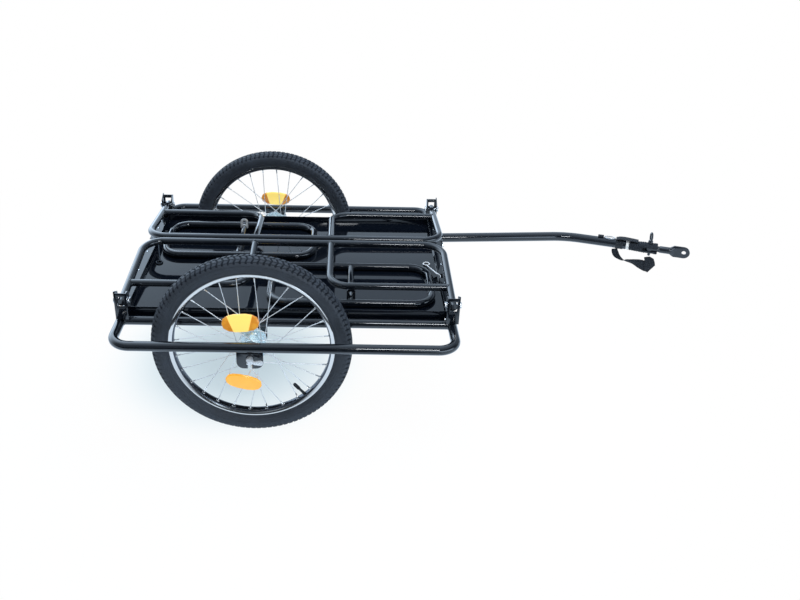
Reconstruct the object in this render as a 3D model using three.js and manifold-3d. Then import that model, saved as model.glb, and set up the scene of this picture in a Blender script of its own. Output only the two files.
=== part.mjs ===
// Cargo bike trailer: a flat bed of steel tube between two 20-inch wheels, with a sheet tray,
// side panels that fold flat over the bed, stored end gates and a cranked drawbar with a hitch.
// Millimetres, +Z up, +X towards the bicycle, +Y to the vehicle's left.
// Places are measured from the wheel axle line and the ground; the last lines centre the trailer.
import * as THREE from "three";
import { mergeVertices } from "three/addons/utils/BufferGeometryUtils.js";
import Module from "manifold-3d";

const wasm = await Module();
wasm.setup();

// Fits shared by every piece
const gap = 0.3;
const overrun = 2;
const weld = 1.5;
const weldTolerance = 0.0001;

// Wheel: a 50-406 tyre on a chromed rim
const beadRadius = 203;
const tyreHeight = 50;
const tyreWidth = 50;
const beadWidth = 19.2;
const rimWidth = 26;
const rimFlange = 6;
const rimDrop = 13;
const rimLip = 1.6;
const rimBedWidth = 13;
const wheelFacets = 56;

// Hub, spokes and what sits in the wheel
const hubFlangeRadius = 33;
const hubHoleRadius = 29;
const hubFlangeThickness = 3.4;
const hubFlangeOffset = 30;
const hubBarrelRadius = 15;
const hubCupRadius = 18.5;
const hubLength = 94;
const hubFacets = 12;
const spokeCount = 28;
const spokeCrosses = 3;
const spokeRadius = 1.2;
const spokeLayer = 2.2;
const spokeRimOffset = 1.5;
const thinFacets = 3;
const reflectorLength = 94;
const reflectorHeight = 48;
const reflectorThickness = 8;
const reflectorBevel = 2.5;
const reflectorRadii = [83, 99];
const reflectorTurns = { right: [-16.7, 193.3], left: [3.3, 183] };
const reflectorTilts = { right: [12, 0], left: [0, 0] };
const valveRadius = 3;
const valveCapRadius = 4.8;
const valveLength = 40;
const valveFacets = 10;
const valveTurns = { right: 135, left: -120 };

// Axle, quick-release skewer and the plates that hold them
const axleRadius = 5;
const axleBoreRadius = 2.8;
const skewerRadius = 2.5;
const locknutRadius = 8.5;
const locknutLength = 5;
const axleFacets = 12;
const plateThickness = 4;
const plateWidth = 66;
const plateDrop = 28;
const plateCorner = 18;
const releaseHeadRadius = 9;
const releaseHeadLength = 14;
const releasePinOffset = 10;
const releaseSlot = 8.6;
const leverEyeRadius = 5.5;
const leverLength = 34;
const leverWidth = 13;
const leverThickness = 4;
const leverNeckLength = 13;
const releaseNutRadius = 8.5;
const releaseNutLength = 11;

// Bed frame and wheel guards
const frameTube = 25;
const tubeFacets = 12;
const bendSteps = 4;
const bedHalfWidth = 300.3;
const bedRear = 340;
const bedFront = 508;
const frameRise = 32;
const tyreClear = 22.7;
const guardBend = 46;
const spigotRadius = 9.8;
const spigotLength = 38;
const endTubeReach = 18.5;
const crossTube = 20;
const crossShares = [1 / 3, 2 / 3];

// Tray
const traySheet = 1.5;
const trayWall = 19.5;
const trayEndClear = 1.8;
const trayRise = 13;
const trayCornerSlit = 1.2;

// Side panels and their hinges
const panelTube = 20;
const panelFacets = 10;
const panelHinge = 60;
const panelInset = 1.7;
const panelMiddleGap = 10.6;
const panelLowRail = 77.5;
const panelBend = 55;
const panelInnerBend = 50;
const panelTail = 12;
const panelTilt = 5.4;
const panelLegInset = 9;
const panelFrontInset = 2;
const panelGateHalf = 107;
const hingeBoltRadius = 4;
const hingeHoleRadius = 4.3;
const hingeHeadRadius = 7.5;
const hingeHeadLength = 5.5;
const hexFacets = 6;
const holeFacets = 10;

// Corner brackets
const bracketClear = 3;
const bracketSheet = 3;
const bracketDepth = 29;
const bracketTopRise = 87;
const bracketHorn = 5;
const bracketEarDrop = 9;
const bracketWindowRise = 50;
const bracketWindowHeight = 27;
const bracketWindowSide = 7;
const bracketWebOffset = 17;

// End gates, stored in the tray
const gateTube = 20;
const gateFacets = 8;
const gateLength = 433;
const gateWallClear = 40;
const gateBend = 52;
const gateInner = 30;
const gateFromEnd = 43.5;
const gateClipWidth = 22;
const gateClipHeight = 20;
const gateClipThickness = 3;
const gateClipInset = 20;
const gateClipHoleRadius = 5;
const gateClipHoleDrop = 12;
const hookWire = 4;
const hookFacets = 6;
const hookRingRadius = 9;
const hookBend = 4;
const hookLipDrop = 8;
const hookSpan = 95;
const hookLean = 26;
const hookLead = 6;

// Drawbar and its mounting plates
const drawbarTube = 28;
const drawbarInset = 84.3;
const drawbarPitch = 1.8;
const drawbarReach = 413;
const drawbarBend = 240;
const drawbarAngle = 20.8;
const drawbarEnd = 181;
const mountPlate = 4.5;
const mountPlateHeight = 38;
const mountPlateOutboard = 24;
const mountPlateInboard = 64;
const mountPlateCorner = 5;
const mountBoltRadius = 3.2;
const mountBoltHead = 5.5;
const mountBoltHeadLength = 4;
const mountBoltInset = 12;
const mountBoltPitch = 28;
const mountBoltHole = 3.5;
const mountHolePlug = 3;

// Coupler, hitch pin and hitch tongue, along the drawbar after its bend
const swivelRadius = 8;
const swivelLength = 27;
const swivelRingLength = 8.5;
const swivelRingRadius = 13.6;
const couplerLength = 82;
const couplerTailRadius = 14;
const couplerNoseRadius = 16.8;
const couplerRib = 1;
const couplerRibs = 4;
const couplerRibShare = 0.55;
const couplerFacets = 12;
const drawbarFacets = 16;
const couplerSlot = 10.6;
const couplerSlotDepth = 42;
const pinSetback = 22;
const pinRadius = 4;
const pinHoleRadius = 4.3;
const pinShoulderRadius = 7;
const pinShoulderLength = 8;
const pinFoot = 8;
const pinRingRadius = 10;
const pinRingWire = 2.8;
const pinRingTurn = 69.2;
const pinRingStretch = 1.25;
const tongueEyeRadius = 13;
const tongueEyeThickness = 10;
const tongueNeckRadius = 10.4;
const tongueNeckStart = 28;
const tongueNeckEnd = 58;
const tongueFlatStart = 68;
const tongueHeight = 34;
const tongueThickness = 6;
const tongueLength = 114;
const tongueHoleSetback = 17;
const tongueHoleRadius = 7;

// Safety strap on the drawbar, by distance along the bar from its bend
const strapWidth = 22;
const webbing = 2;
const strapBandPlace = 162;
const strapTopEnd = 216;
const strapHookPlace = 97;
const strapHookLength = 17;
const strapHookWidth = 9;
const strapHookHeight = 6;
const strapRingLength = 36;
const strapRingWidth = 20;
const strapRingWire = 3.2;
const strapTailDrop = 66;
const strapTailReach = 102;
// Route of the hanging webbing, as shares of its reach along the bar and of its drop
const strapTailShares = [
  [-0.09, 0], [-0.06, 0.14], [0.02, 0.34], [0.19, 0.47], [0.43, 0.62],
  [0.69, 0.85], [0.83, 0.93], [0.98, 0.66], [0.97, 0.42], [0.87, 0.34],
];

// Paints and metals
const paints = {
  black: [0x101114, 0.22, 0.1],
  tray: [0x0c0d10, 0.1, 0.1],
  chrome: [0xd8dadd, 0.12, 1],
  zinc: [0xbfd3da, 0.3, 1],
  steel: [0xc4c7ca, 0.3, 1],
  rubber: [0x17181a, 0.75, 0],
  tyre: [0x1c1e20, 0.8, 0],
  amber: [0xf59a0c, 0.2, 0],
  webbing: [0x14151a, 0.9, 0],
  nylon: [0xe6e6e2, 0.4, 0],
};

// Values that follow from the sizes above
const frameRadius = frameTube / 2;
const axleHeight = beadRadius + tyreHeight;
const frameHeight = axleHeight + frameRise;
const frameTop = frameHeight + frameRadius;
const wheelPlane = bedHalfWidth + frameRadius + tyreClear + tyreWidth / 2;
const trayHalfWidth = bedHalfWidth - frameRadius - gap;
const gateWidth = trayHalfWidth - traySheet - gateWallClear - gateTube / 2 - gateInner;
const drawbarOffset = bedHalfWidth - drawbarInset;
const guardHalfWidth = wheelPlane + tyreWidth / 2 + tyreClear + frameRadius;
const sides = { left: 1, right: -1 };
const ends = { front: 1, rear: -1 };
const degrees = Math.PI / 180;

const vec = (x, y, z) => new THREE.Vector3(x, y, z);

// Turns a geometry into a solid, with its shared vertices merged.
function solidOf(geometry) {
  const bare = geometry.index ? geometry.toNonIndexed() : geometry.clone();
  bare.deleteAttribute("normal");
  bare.deleteAttribute("uv");
  const merged = mergeVertices(bare, weldTolerance);
  return new wasm.Manifold(new wasm.Mesh({
    numProp: 3,
    vertProperties: merged.attributes.position.array,
    triVerts: new Uint32Array(merged.index.array),
  }));
}

function geometryOf(solid) {
  const mesh = solid.getMesh();
  const geometry = new THREE.BufferGeometry();
  geometry.setAttribute("position", new THREE.BufferAttribute(mesh.vertProperties, 3));
  geometry.setIndex(new THREE.BufferAttribute(mesh.triVerts, 1));
  geometry.computeVertexNormals();
  return geometry;
}

function joined(geometries) {
  return geometryOf(geometries.map(solidOf).reduce((whole, next) => whole.add(next)));
}

function cut(geometry, cutters) {
  return geometryOf(cutters.map(solidOf).reduce((whole, next) => whole.subtract(next), solidOf(geometry)));
}

// A round bar between two points.
function bar(from, to, radius, facets) {
  const along = to.clone().sub(from);
  const geometry = new THREE.CylinderGeometry(radius, radius, along.length(), facets);
  const turn = new THREE.Quaternion().setFromUnitVectors(vec(0, 1, 0), along.clone().normalize());
  geometry.applyQuaternion(turn);
  const middle = from.clone().add(to).divideScalar(2);
  return geometry.translate(middle.x, middle.y, middle.z);
}

function block(low, high) {
  const size = high.clone().sub(low);
  const middle = low.clone().add(high).divideScalar(2);
  return new THREE.BoxGeometry(size.x, size.y, size.z).translate(middle.x, middle.y, middle.z);
}

// A line through fixed points, so that an extrusion puts one section at each of them.
class BentLine extends THREE.Curve {
  constructor(points) {
    super();
    this.points = points;
  }

  getUtoTmapping(share) {
    return share;
  }

  getPoint(share, target = new THREE.Vector3()) {
    const place = share * (this.points.length - 1);
    const index = Math.min(Math.floor(place), this.points.length - 2);
    return target.lerpVectors(this.points[index], this.points[index + 1], place - index);
  }
}

// Rounds the corners of a line with arcs of one radius.
function roundedLine(corners, bend, steps) {
  const points = [corners[0].clone()];
  for (let i = 1; i < corners.length - 1; i++) {
    const back = corners[i - 1].clone().sub(corners[i]).normalize();
    const ahead = corners[i + 1].clone().sub(corners[i]).normalize();
    const half = back.angleTo(ahead) / 2;
    const toCentre = back.clone().add(ahead).normalize();
    const centre = corners[i].clone().addScaledVector(toCentre, bend / Math.sin(half));
    const start = corners[i].clone().addScaledVector(back, bend / Math.tan(half)).sub(centre);
    const axis = vec(0, 0, 0).crossVectors(ahead, back).normalize();
    for (let k = 0; k <= steps; k++) {
      const onArc = start.clone().applyAxisAngle(axis, (Math.PI - 2 * half) * (k / steps));
      points.push(onArc.add(centre));
    }
  }
  points.push(corners[corners.length - 1].clone());
  return points;
}

function circleOf(radius, facets) {
  const points = [];
  for (let i = 0; i < facets; i++) {
    const angle = (i / facets) * 2 * Math.PI;
    points.push(new THREE.Vector2(radius * Math.cos(angle), radius * Math.sin(angle)));
  }
  return new THREE.Shape(points);
}

// A solid tube through points, one section at each.
function swept(points, section) {
  return new THREE.ExtrudeGeometry(section, {
    steps: points.length - 1,
    extrudePath: new BentLine(points),
  });
}

function pipe(corners, radius, bend, facets, steps = bendSteps) {
  return swept(roundedLine(corners, bend, steps), circleOf(radius, facets));
}

// A solid of revolution about Y from pairs of radius and place along the axis.
function turned(profile, facets) {
  const points = profile.map(([radius, along]) => new THREE.Vector2(radius, along));
  const closed = profile[0][0] === 0 ? points : [...points, points[0].clone()];
  const area = THREE.ShapeUtils.area(points);
  return new THREE.LatheGeometry(area > 0 ? closed : closed.reverse(), facets);
}

function flat(shape, thickness) {
  return new THREE.ExtrudeGeometry(shape, { depth: thickness, bevelEnabled: false, curveSegments: 3 });
}

// Sheet shapes are drawn in X and Z, and stand with their middle plane at Y = 0.
function upright(shape, thickness) {
  return flat(shape, thickness).translate(0, 0, -thickness / 2).rotateX(Math.PI / 2);
}

const group = new THREE.Group();
const trailer = new THREE.Group();
trailer.add(group);

function place(name, geometry, paint, parent = group) {
  const [color, roughness, metalness] = paints[paint];
  const mesh = new THREE.Mesh(geometry, new THREE.MeshStandardMaterial({ color, roughness, metalness }));
  mesh.name = name;
  parent.add(mesh);
  return mesh;
}

// Bed frame: the end tubes run right across, and the side tubes are mitred on to them.
function addBedFrame() {
  const endHalf = bedHalfWidth + endTubeReach;
  for (const [end, sign] of Object.entries(ends)) {
    const x = sign > 0 ? bedFront : -bedRear;
    const tube = bar(vec(x, -endHalf, frameHeight), vec(x, endHalf, frameHeight), frameRadius, tubeFacets);
    const bores = Object.values(sides).map((side) => bar(
      vec(x, side * (endHalf - spigotLength - gap), frameHeight),
      vec(x, side * (endHalf + overrun), frameHeight),
      spigotRadius + gap, tubeFacets));
    place(`frame_end_tube_${end}`, cut(tube, bores), "black");
  }
  for (const [name, side] of Object.entries(sides)) {
    const y = side * bedHalfWidth;
    const tube = bar(vec(-bedRear, y, frameHeight), vec(bedFront, y, frameHeight), frameRadius, tubeFacets);
    const mitres = [-bedRear, bedFront].map((x) => bar(
      vec(x, y - frameTube, frameHeight), vec(x, y + frameTube, frameHeight),
      frameRadius + gap, tubeFacets));
    place(`frame_side_tube_${name}`, cut(tube, mitres), "black");
  }
  const trayUnderside = frameHeight + trayRise - traySheet;
  const crossHeight = trayUnderside - gap - crossTube / 2;
  crossShares.forEach((share, index) => {
    const x = -bedRear + share * (bedRear + bedFront);
    const tube = bar(
      vec(x, -bedHalfWidth, crossHeight), vec(x, bedHalfWidth, crossHeight), crossTube / 2, tubeFacets);
    const mitres = Object.values(sides).map((side) => bar(
      vec(x - frameTube, side * bedHalfWidth, frameHeight),
      vec(x + frameTube, side * bedHalfWidth, frameHeight),
      frameRadius + gap, tubeFacets));
    place(`floor_cross_tube_${index ? "front" : "rear"}`, cut(tube, mitres), "black");
  });
}

// Wheel guards: bent tubes whose swaged ends plug into the end tubes.
function addWheelGuards() {
  const start = bedHalfWidth + endTubeReach + gap;
  for (const [name, side] of Object.entries(sides)) {
    const run = pipe([
      vec(-bedRear, side * start, frameHeight),
      vec(-bedRear, side * guardHalfWidth, frameHeight),
      vec(bedFront, side * guardHalfWidth, frameHeight),
      vec(bedFront, side * start, frameHeight),
    ], frameRadius, guardBend, tubeFacets);
    const spigots = [-bedRear, bedFront].map((x) => bar(
      vec(x, side * (start + weld), frameHeight),
      vec(x, side * (start - spigotLength), frameHeight),
      spigotRadius, tubeFacets));
    place(`wheel_guard_${name}`, joined([run, ...spigots]), "black");
  }
}

// Tray: a folded sheet with a turned-up wall on every side and slit corners.
function addTray() {
  const halfWidth = trayHalfWidth;
  const rear = -bedRear + frameRadius + trayEndClear;
  const front = bedFront - frameRadius - trayEndClear;
  const floor = frameHeight + trayRise;
  const outer = block(vec(rear, -halfWidth, floor - traySheet), vec(front, halfWidth, floor + trayWall));
  const hollow = block(
    vec(rear + traySheet, -halfWidth + traySheet, floor),
    vec(front - traySheet, halfWidth - traySheet, floor + trayWall + overrun));
  const slits = [];
  for (const x of [rear, front]) {
    for (const side of Object.values(sides)) {
      const inward = Math.sign(-x);
      const y = side * (halfWidth - traySheet - trayCornerSlit / 2);
      slits.push(block(
        vec(Math.min(x - inward * overrun, x + inward * (traySheet + overrun)), y - trayCornerSlit / 2, floor),
        vec(Math.max(x - inward * overrun, x + inward * (traySheet + overrun)), y + trayCornerSlit / 2,
          floor + trayWall + overrun)));
    }
  }
  place("cargo_tray", cut(outer, [hollow, ...slits]), "tray");
}

// Axle plates hang from a tube, each with a slot that opens downwards for the axle.
function axlePlateShape(tubeRadius) {
  const top = frameRise - tubeRadius - gap;
  const half = plateWidth / 2;
  const slot = axleRadius + gap;
  const shape = new THREE.Shape();
  shape.moveTo(-half, top);
  shape.lineTo(-half, -plateDrop + plateCorner);
  shape.absarc(-half + plateCorner, -plateDrop + plateCorner, plateCorner, Math.PI, 1.5 * Math.PI, false);
  shape.lineTo(-slot, -plateDrop);
  shape.lineTo(-slot, 0);
  shape.absarc(0, 0, slot, Math.PI, 0, true);
  shape.lineTo(slot, -plateDrop);
  shape.absarc(half - plateCorner, -plateDrop + plateCorner, plateCorner, 1.5 * Math.PI, 2 * Math.PI, false);
  shape.lineTo(half, top);
  shape.closePath();
  return shape;
}

function addAxlePlates() {
  const shape = axlePlateShape(frameRadius);
  for (const [name, side] of Object.entries(sides)) {
    for (const [where, y] of [["inner", bedHalfWidth], ["outer", guardHalfWidth]]) {
      const plate = place(`axle_plate_${name}_${where}`, upright(shape, plateThickness), "black");
      plate.position.set(0, side * y, axleHeight);
    }
  }
}

// Everything in a wheel is turned about Y, with Y = 0 in the wheel's middle plane.
function tyreGeometry() {
  const height = tyreHeight;
  const half = tyreWidth / 2;
  const side = [
    [beadRadius, beadWidth / 2],
    [beadRadius + rimFlange, beadWidth / 2 + gap * 4],
    [beadRadius + height * 0.3, half * 0.84],
    [beadRadius + height * 0.54, half],
    [beadRadius + height * 0.84, half * 0.78],
    [beadRadius + height, half * 0.3],
  ];
  return turned([...side, ...side.map(([r, y]) => [r, -y]).reverse()], wheelFacets);
}

const rimInnerRadius = beadRadius + rimFlange - rimDrop;

function rimGeometry() {
  const outer = beadRadius + rimFlange;
  const half = rimWidth / 2;
  const side = [
    [beadRadius - gap, beadWidth / 2 + gap],
    [outer, half - rimLip],
    [outer, half],
    [rimInnerRadius, rimBedWidth / 2],
  ];
  return turned([...side, ...side.map(([r, y]) => [r, -y]).reverse()], wheelFacets);
}

// The radius of a facet's middle on the rim's inner face, where a spoke or valve meets it.
const rimFacetRadius = rimInnerRadius * Math.cos(Math.PI / wheelFacets) - gap;

const onWheel = (radius, angle, y) => vec(radius * Math.sin(angle), y, radius * Math.cos(angle));

// One spoke as its two ends, from a hole in a hub flange to the rim.
function spokeEnds(index) {
  const facet = (2 * Math.PI) / spokeCount;
  const side = index % 2 ? 1 : -1;
  const lean = index % 4 < 2 ? 1 : -1;
  const rimAngle = (index + 1 / 4) * facet;
  const holeAngle = rimAngle + lean * spokeCrosses * 2 * facet;
  return [
    onWheel(hubHoleRadius, holeAngle, side * (hubFlangeOffset + lean * spokeLayer)),
    onWheel(rimFacetRadius, rimAngle, side * spokeRimOffset),
  ];
}

function hubProfile() {
  const half = hubLength / 2;
  const inner = hubFlangeOffset - hubFlangeThickness / 2;
  const outer = hubFlangeOffset + hubFlangeThickness / 2;
  const bore = axleRadius + gap;
  const end = [
    [bore, half],
    [hubCupRadius - weld, half],
    [hubCupRadius, outer + weld],
    [hubFlangeRadius, outer],
    [hubFlangeRadius, inner],
    [hubBarrelRadius, inner - hubFlangeThickness],
  ];
  return [...end, ...end.map(([r, y]) => [r, -y]).reverse()];
}

// A thin three-sided bar with one edge outwards, so that a reflector can lie on it.
function spokeBar(hole, rim) {
  const along = rim.clone().sub(hole);
  const geometry = new THREE.CylinderGeometry(spokeRadius, spokeRadius, along.length(), thinFacets);
  const ahead = along.clone().normalize();
  const outwards = vec(0, Math.sign(hole.y), 0);
  outwards.addScaledVector(ahead, -outwards.dot(ahead)).normalize();
  const across = vec(0, 0, 0).crossVectors(ahead, outwards);
  geometry.applyMatrix4(new THREE.Matrix4().makeBasis(across, ahead, outwards));
  const middle = hole.clone().add(rim).divideScalar(2);
  return geometry.translate(middle.x, middle.y, middle.z);
}

function hubAndSpokes() {
  const pieces = [turned(hubProfile(), hubFacets)];
  for (let i = 0; i < spokeCount; i++) {
    const [hole, rim] = spokeEnds(i);
    pieces.push(spokeBar(hole, rim));
  }
  return joined(pieces);
}

function reflectorGeometry() {
  const shape = new THREE.Shape();
  const halfLength = reflectorLength / 2 - reflectorBevel;
  const halfHeight = reflectorHeight / 2 - reflectorBevel;
  const points = 14;
  const fullness = 2.5;
  for (let i = 0; i < points; i++) {
    const angle = (i / points) * 2 * Math.PI;
    const c = Math.cos(angle);
    const s = Math.sin(angle);
    const x = halfLength * Math.sign(c) * Math.abs(c) ** (2 / fullness);
    const z = halfHeight * Math.sign(s) * Math.abs(s) ** (2 / fullness);
    if (i) shape.lineTo(x, z);
    else shape.moveTo(x, z);
  }
  const body = new THREE.ExtrudeGeometry(shape, {
    depth: reflectorThickness - 2 * reflectorBevel,
    bevelThickness: reflectorBevel,
    bevelSize: reflectorBevel,
    bevelSegments: 1,
  });
  return body.translate(0, 0, reflectorBevel);
}

// How far from the wheel's middle plane an outer spoke's middle runs, at the given radius.
function outerSpokeOffset(radius) {
  const crossing = Math.cos((spokeCrosses * 4 * Math.PI) / spokeCount);
  const reach = hubHoleRadius * rimFacetRadius * crossing;
  const a = rimFacetRadius ** 2 + hubHoleRadius ** 2 - 2 * reach;
  const b = reach - hubHoleRadius ** 2;
  const c = hubHoleRadius ** 2 - radius ** 2;
  const share = (Math.sqrt(b ** 2 - a * c) - b) / a;
  return THREE.MathUtils.lerp(hubFlangeOffset + spokeLayer, spokeRimOffset, share);
}

// How far the spokes of one side rise above a reflector's back, inside its outline.
function spokesAbove(mesh, side) {
  const steps = 120;
  let highest = -Infinity;
  mesh.updateWorldMatrix(true, false);
  const toLocal = mesh.matrixWorld.clone().invert();
  const wheelMatrix = mesh.parent.parent.matrixWorld;
  for (let i = 0; i < spokeCount; i++) {
    const [hole, rim] = spokeEnds(i).map((point) => point.applyMatrix4(wheelMatrix).applyMatrix4(toLocal));
    for (let k = 0; k <= steps; k++) {
      const point = hole.clone().lerp(rim, k / steps);
      const inside = Math.abs(point.x) < reflectorLength / 2 && Math.abs(point.y) < reflectorHeight / 2;
      if (inside && (i % 2 ? 1 : -1) === side) highest = Math.max(highest, point.z);
    }
  }
  return highest;
}

// A reflector leans with the outer spokes and lies on the highest of those behind it.
function addReflector(name, wheel, side, radius, turn, tilt) {
  const half = reflectorHeight / 2;
  const lean = Math.atan((outerSpokeOffset(radius - half) - outerSpokeOffset(radius + half)) / reflectorHeight);
  const mesh = place(name, reflectorGeometry(), "amber", wheel);
  const carrier = new THREE.Group();
  wheel.add(carrier);
  carrier.add(mesh);
  carrier.rotation.y = turn * degrees;
  mesh.position.set(0, side * outerSpokeOffset(radius), radius);
  mesh.rotation.set(-side * (Math.PI / 2) + side * lean, 0, side * tilt * degrees);
  mesh.translateZ(spokesAbove(mesh, side) + spokeRadius + gap);
}

function valveGeometry() {
  const cap = valveLength / 2;
  return turned([
    [0, 0],
    [valveRadius * 1.4, 0],
    [valveRadius * 1.2, valveLength * 0.25],
    [valveRadius, cap],
    [valveCapRadius, cap],
    [valveCapRadius, valveLength * 0.92],
    [valveCapRadius * 0.7, valveLength],
    [0, valveLength],
  ], valveFacets);
}

function addWheel(name, side) {
  const wheel = new THREE.Group();
  wheel.position.set(0, side * wheelPlane, axleHeight);
  group.add(wheel);
  place(`tyre_${name}`, tyreGeometry(), "tyre", wheel);
  place(`rim_${name}`, rimGeometry(), "chrome", wheel);
  place(`hub_and_spokes_${name}`, hubAndSpokes(), "zinc", wheel);
  reflectorTurns[name].forEach((turn, index) => {
    const tilt = reflectorTilts[name][index];
    addReflector(`reflector_${name}_${index + 1}`, wheel, side, reflectorRadii[index], turn, tilt);
  });
  const stem = place(`valve_${name}`, valveGeometry(), "rubber", wheel);
  const facet = (2 * Math.PI) / wheelFacets;
  const turn = (Math.round((valveTurns[name] * degrees) / facet - 1 / 2) + 1 / 2) * facet;
  stem.position.copy(onWheel(rimFacetRadius, turn, 0));
  stem.quaternion.setFromUnitVectors(vec(0, 1, 0), onWheel(-1, turn, 0));
}

function axleProfile() {
  const half = (guardHalfWidth - bedHalfWidth) / 2;
  const end = half + plateThickness / 2 - gap;
  const nutFace = half - plateThickness / 2 - gap;
  const cone = nutFace - locknutLength;
  const outer = [
    [axleBoreRadius, end],
    [axleRadius, end],
    [axleRadius, nutFace],
    [locknutRadius, nutFace],
    [locknutRadius, cone],
    [axleRadius, cone],
  ];
  return [...outer, ...outer.map(([r, y]) => [r, -y]).reverse()];
}

// The skewer's outer end is a fork with a cross pin, which carries the lever's eye.
function skewerGeometry(side) {
  const outer = guardHalfWidth + plateThickness / 2 + gap;
  const inner = bedHalfWidth - plateThickness / 2 - gap - releaseNutLength;
  const shank = bar(vec(0, side * inner, 0), vec(0, side * (outer + weld), 0), skewerRadius, axleFacets);
  const head = bar(
    vec(0, side * outer, 0), vec(0, side * (outer + releaseHeadLength), 0), releaseHeadRadius, axleFacets);
  const slotFloor = releasePinOffset - leverEyeRadius - gap;
  const edge = releaseHeadRadius + overrun;
  const from = outer + slotFloor;
  const to = outer + releaseHeadLength + overrun;
  const slot = block(
    vec(-edge, Math.min(side * from, side * to), -releaseSlot / 2),
    vec(edge, Math.max(side * from, side * to), releaseSlot / 2));
  const pinPlace = side * (outer + releasePinOffset);
  const pin = bar(
    vec(0, pinPlace, -releaseHeadRadius / 2 - weld), vec(0, pinPlace, releaseHeadRadius / 2 + weld),
    skewerRadius, axleFacets);
  return joined([cut(joined([shank, head]), [slot]), pin]);
}

// The lever lies forwards when closed, and is made about its own pivot.
function leverGeometry(side) {
  const half = releaseSlot / 2 - gap;
  const eye = bar(vec(0, 0, -half), vec(0, 0, half), leverEyeRadius, axleFacets);
  const clearOfHead = releaseHeadLength - releasePinOffset + gap * 2;
  const neck = flat(new THREE.Shape([
    new THREE.Vector2(leverThickness / 2, -side * leverThickness / 2),
    new THREE.Vector2(leverNeckLength, side * clearOfHead),
    new THREE.Vector2(leverNeckLength, side * (clearOfHead + leverThickness)),
    new THREE.Vector2(leverThickness, side * leverThickness * 0.85),
  ]), 2 * half).translate(0, 0, -half);
  const paddle = new THREE.Shape();
  const tip = leverWidth / 2;
  paddle.moveTo(leverNeckLength - weld, -half);
  paddle.lineTo(leverLength - tip, -tip);
  paddle.absarc(leverLength - tip, 0, tip, -Math.PI / 2, Math.PI / 2, false);
  paddle.lineTo(leverNeckLength - weld, half);
  paddle.closePath();
  const arm = upright(paddle, leverThickness).translate(0, side * (clearOfHead + leverThickness / 2), 0);
  const hole = bar(vec(0, 0, -half - overrun), vec(0, 0, half + overrun), axleBoreRadius, axleFacets);
  return cut(joined([eye, neck, arm]), [hole]);
}

function releaseNutGeometry() {
  return turned([
    [axleBoreRadius, 0],
    [releaseNutRadius, 0],
    [releaseNutRadius, releaseNutLength / 2],
    [releaseNutRadius * 0.7, releaseNutLength],
    [axleBoreRadius, releaseNutLength],
  ], axleFacets);
}

function addAxle(name, side) {
  const middle = (guardHalfWidth + bedHalfWidth) / 2;
  const axle = place(`wheel_axle_${name}`, turned(axleProfile(), axleFacets), "steel");
  axle.position.set(0, side * middle, axleHeight);
  const skewer = place(`quick_release_skewer_${name}`, skewerGeometry(side), "steel");
  skewer.position.z = axleHeight;
  const lever = place(`quick_release_lever_${name}`, leverGeometry(side), "chrome");
  const pivot = guardHalfWidth + plateThickness / 2 + gap + releasePinOffset;
  lever.position.set(0, side * pivot, axleHeight);
  const nut = place(`quick_release_nut_${name}`, releaseNutGeometry(), "steel");
  nut.position.set(0, side * (bedHalfWidth - plateThickness / 2 - gap), axleHeight);
  nut.rotation.x = side > 0 ? Math.PI : 0;
}

// A side panel is drawn flat: X along the trailer, Y up the panel from its hinge line.
const panelRear = -bedRear + panelLegInset;
const panelFront = bedFront - panelFrontInset;
const hingeHeight = frameHeight + panelHinge;
const hingeHalfWidth = bedHalfWidth + panelInset;
// Folded over the bed, the two panels meet at the middle with a small gap.
const panelHeight = (hingeHalfWidth - (panelTube + panelMiddleGap) / 2) / Math.cos(panelTilt * degrees);

function panelGeometry() {
  const middle = (bedFront - bedRear) / 2;
  const radius = panelTube / 2;
  const rail = pipe([
    vec(panelRear, -panelTail, 0),
    vec(panelRear, panelHeight, 0),
    vec(panelFront, panelHeight, 0),
    vec(panelFront, -panelTail, 0),
  ], radius, panelBend, panelFacets);
  const inner = [[panelRear, middle - panelGateHalf], [panelFront, middle + panelGateHalf]].map(
    ([leg, upright]) => pipe([
      vec(leg, panelLowRail, 0),
      vec(upright, panelLowRail, 0),
      vec(upright, panelHeight, 0),
    ], radius * 0.94, panelInnerBend, panelFacets));
  const holes = [panelRear, panelFront].map((x) => bar(
    vec(x - panelTube, 0, 0), vec(x + panelTube, 0, 0), hingeHoleRadius, holeFacets));
  return cut(joined([rail, ...inner]), holes);
}

function addPanel(name, side) {
  const panel = place(`side_panel_${name}`, panelGeometry(), "black");
  panel.position.set(0, side * hingeHalfWidth, hingeHeight);
  panel.rotation.x = side > 0 ? Math.PI - panelTilt * degrees : panelTilt * degrees;
}

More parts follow.
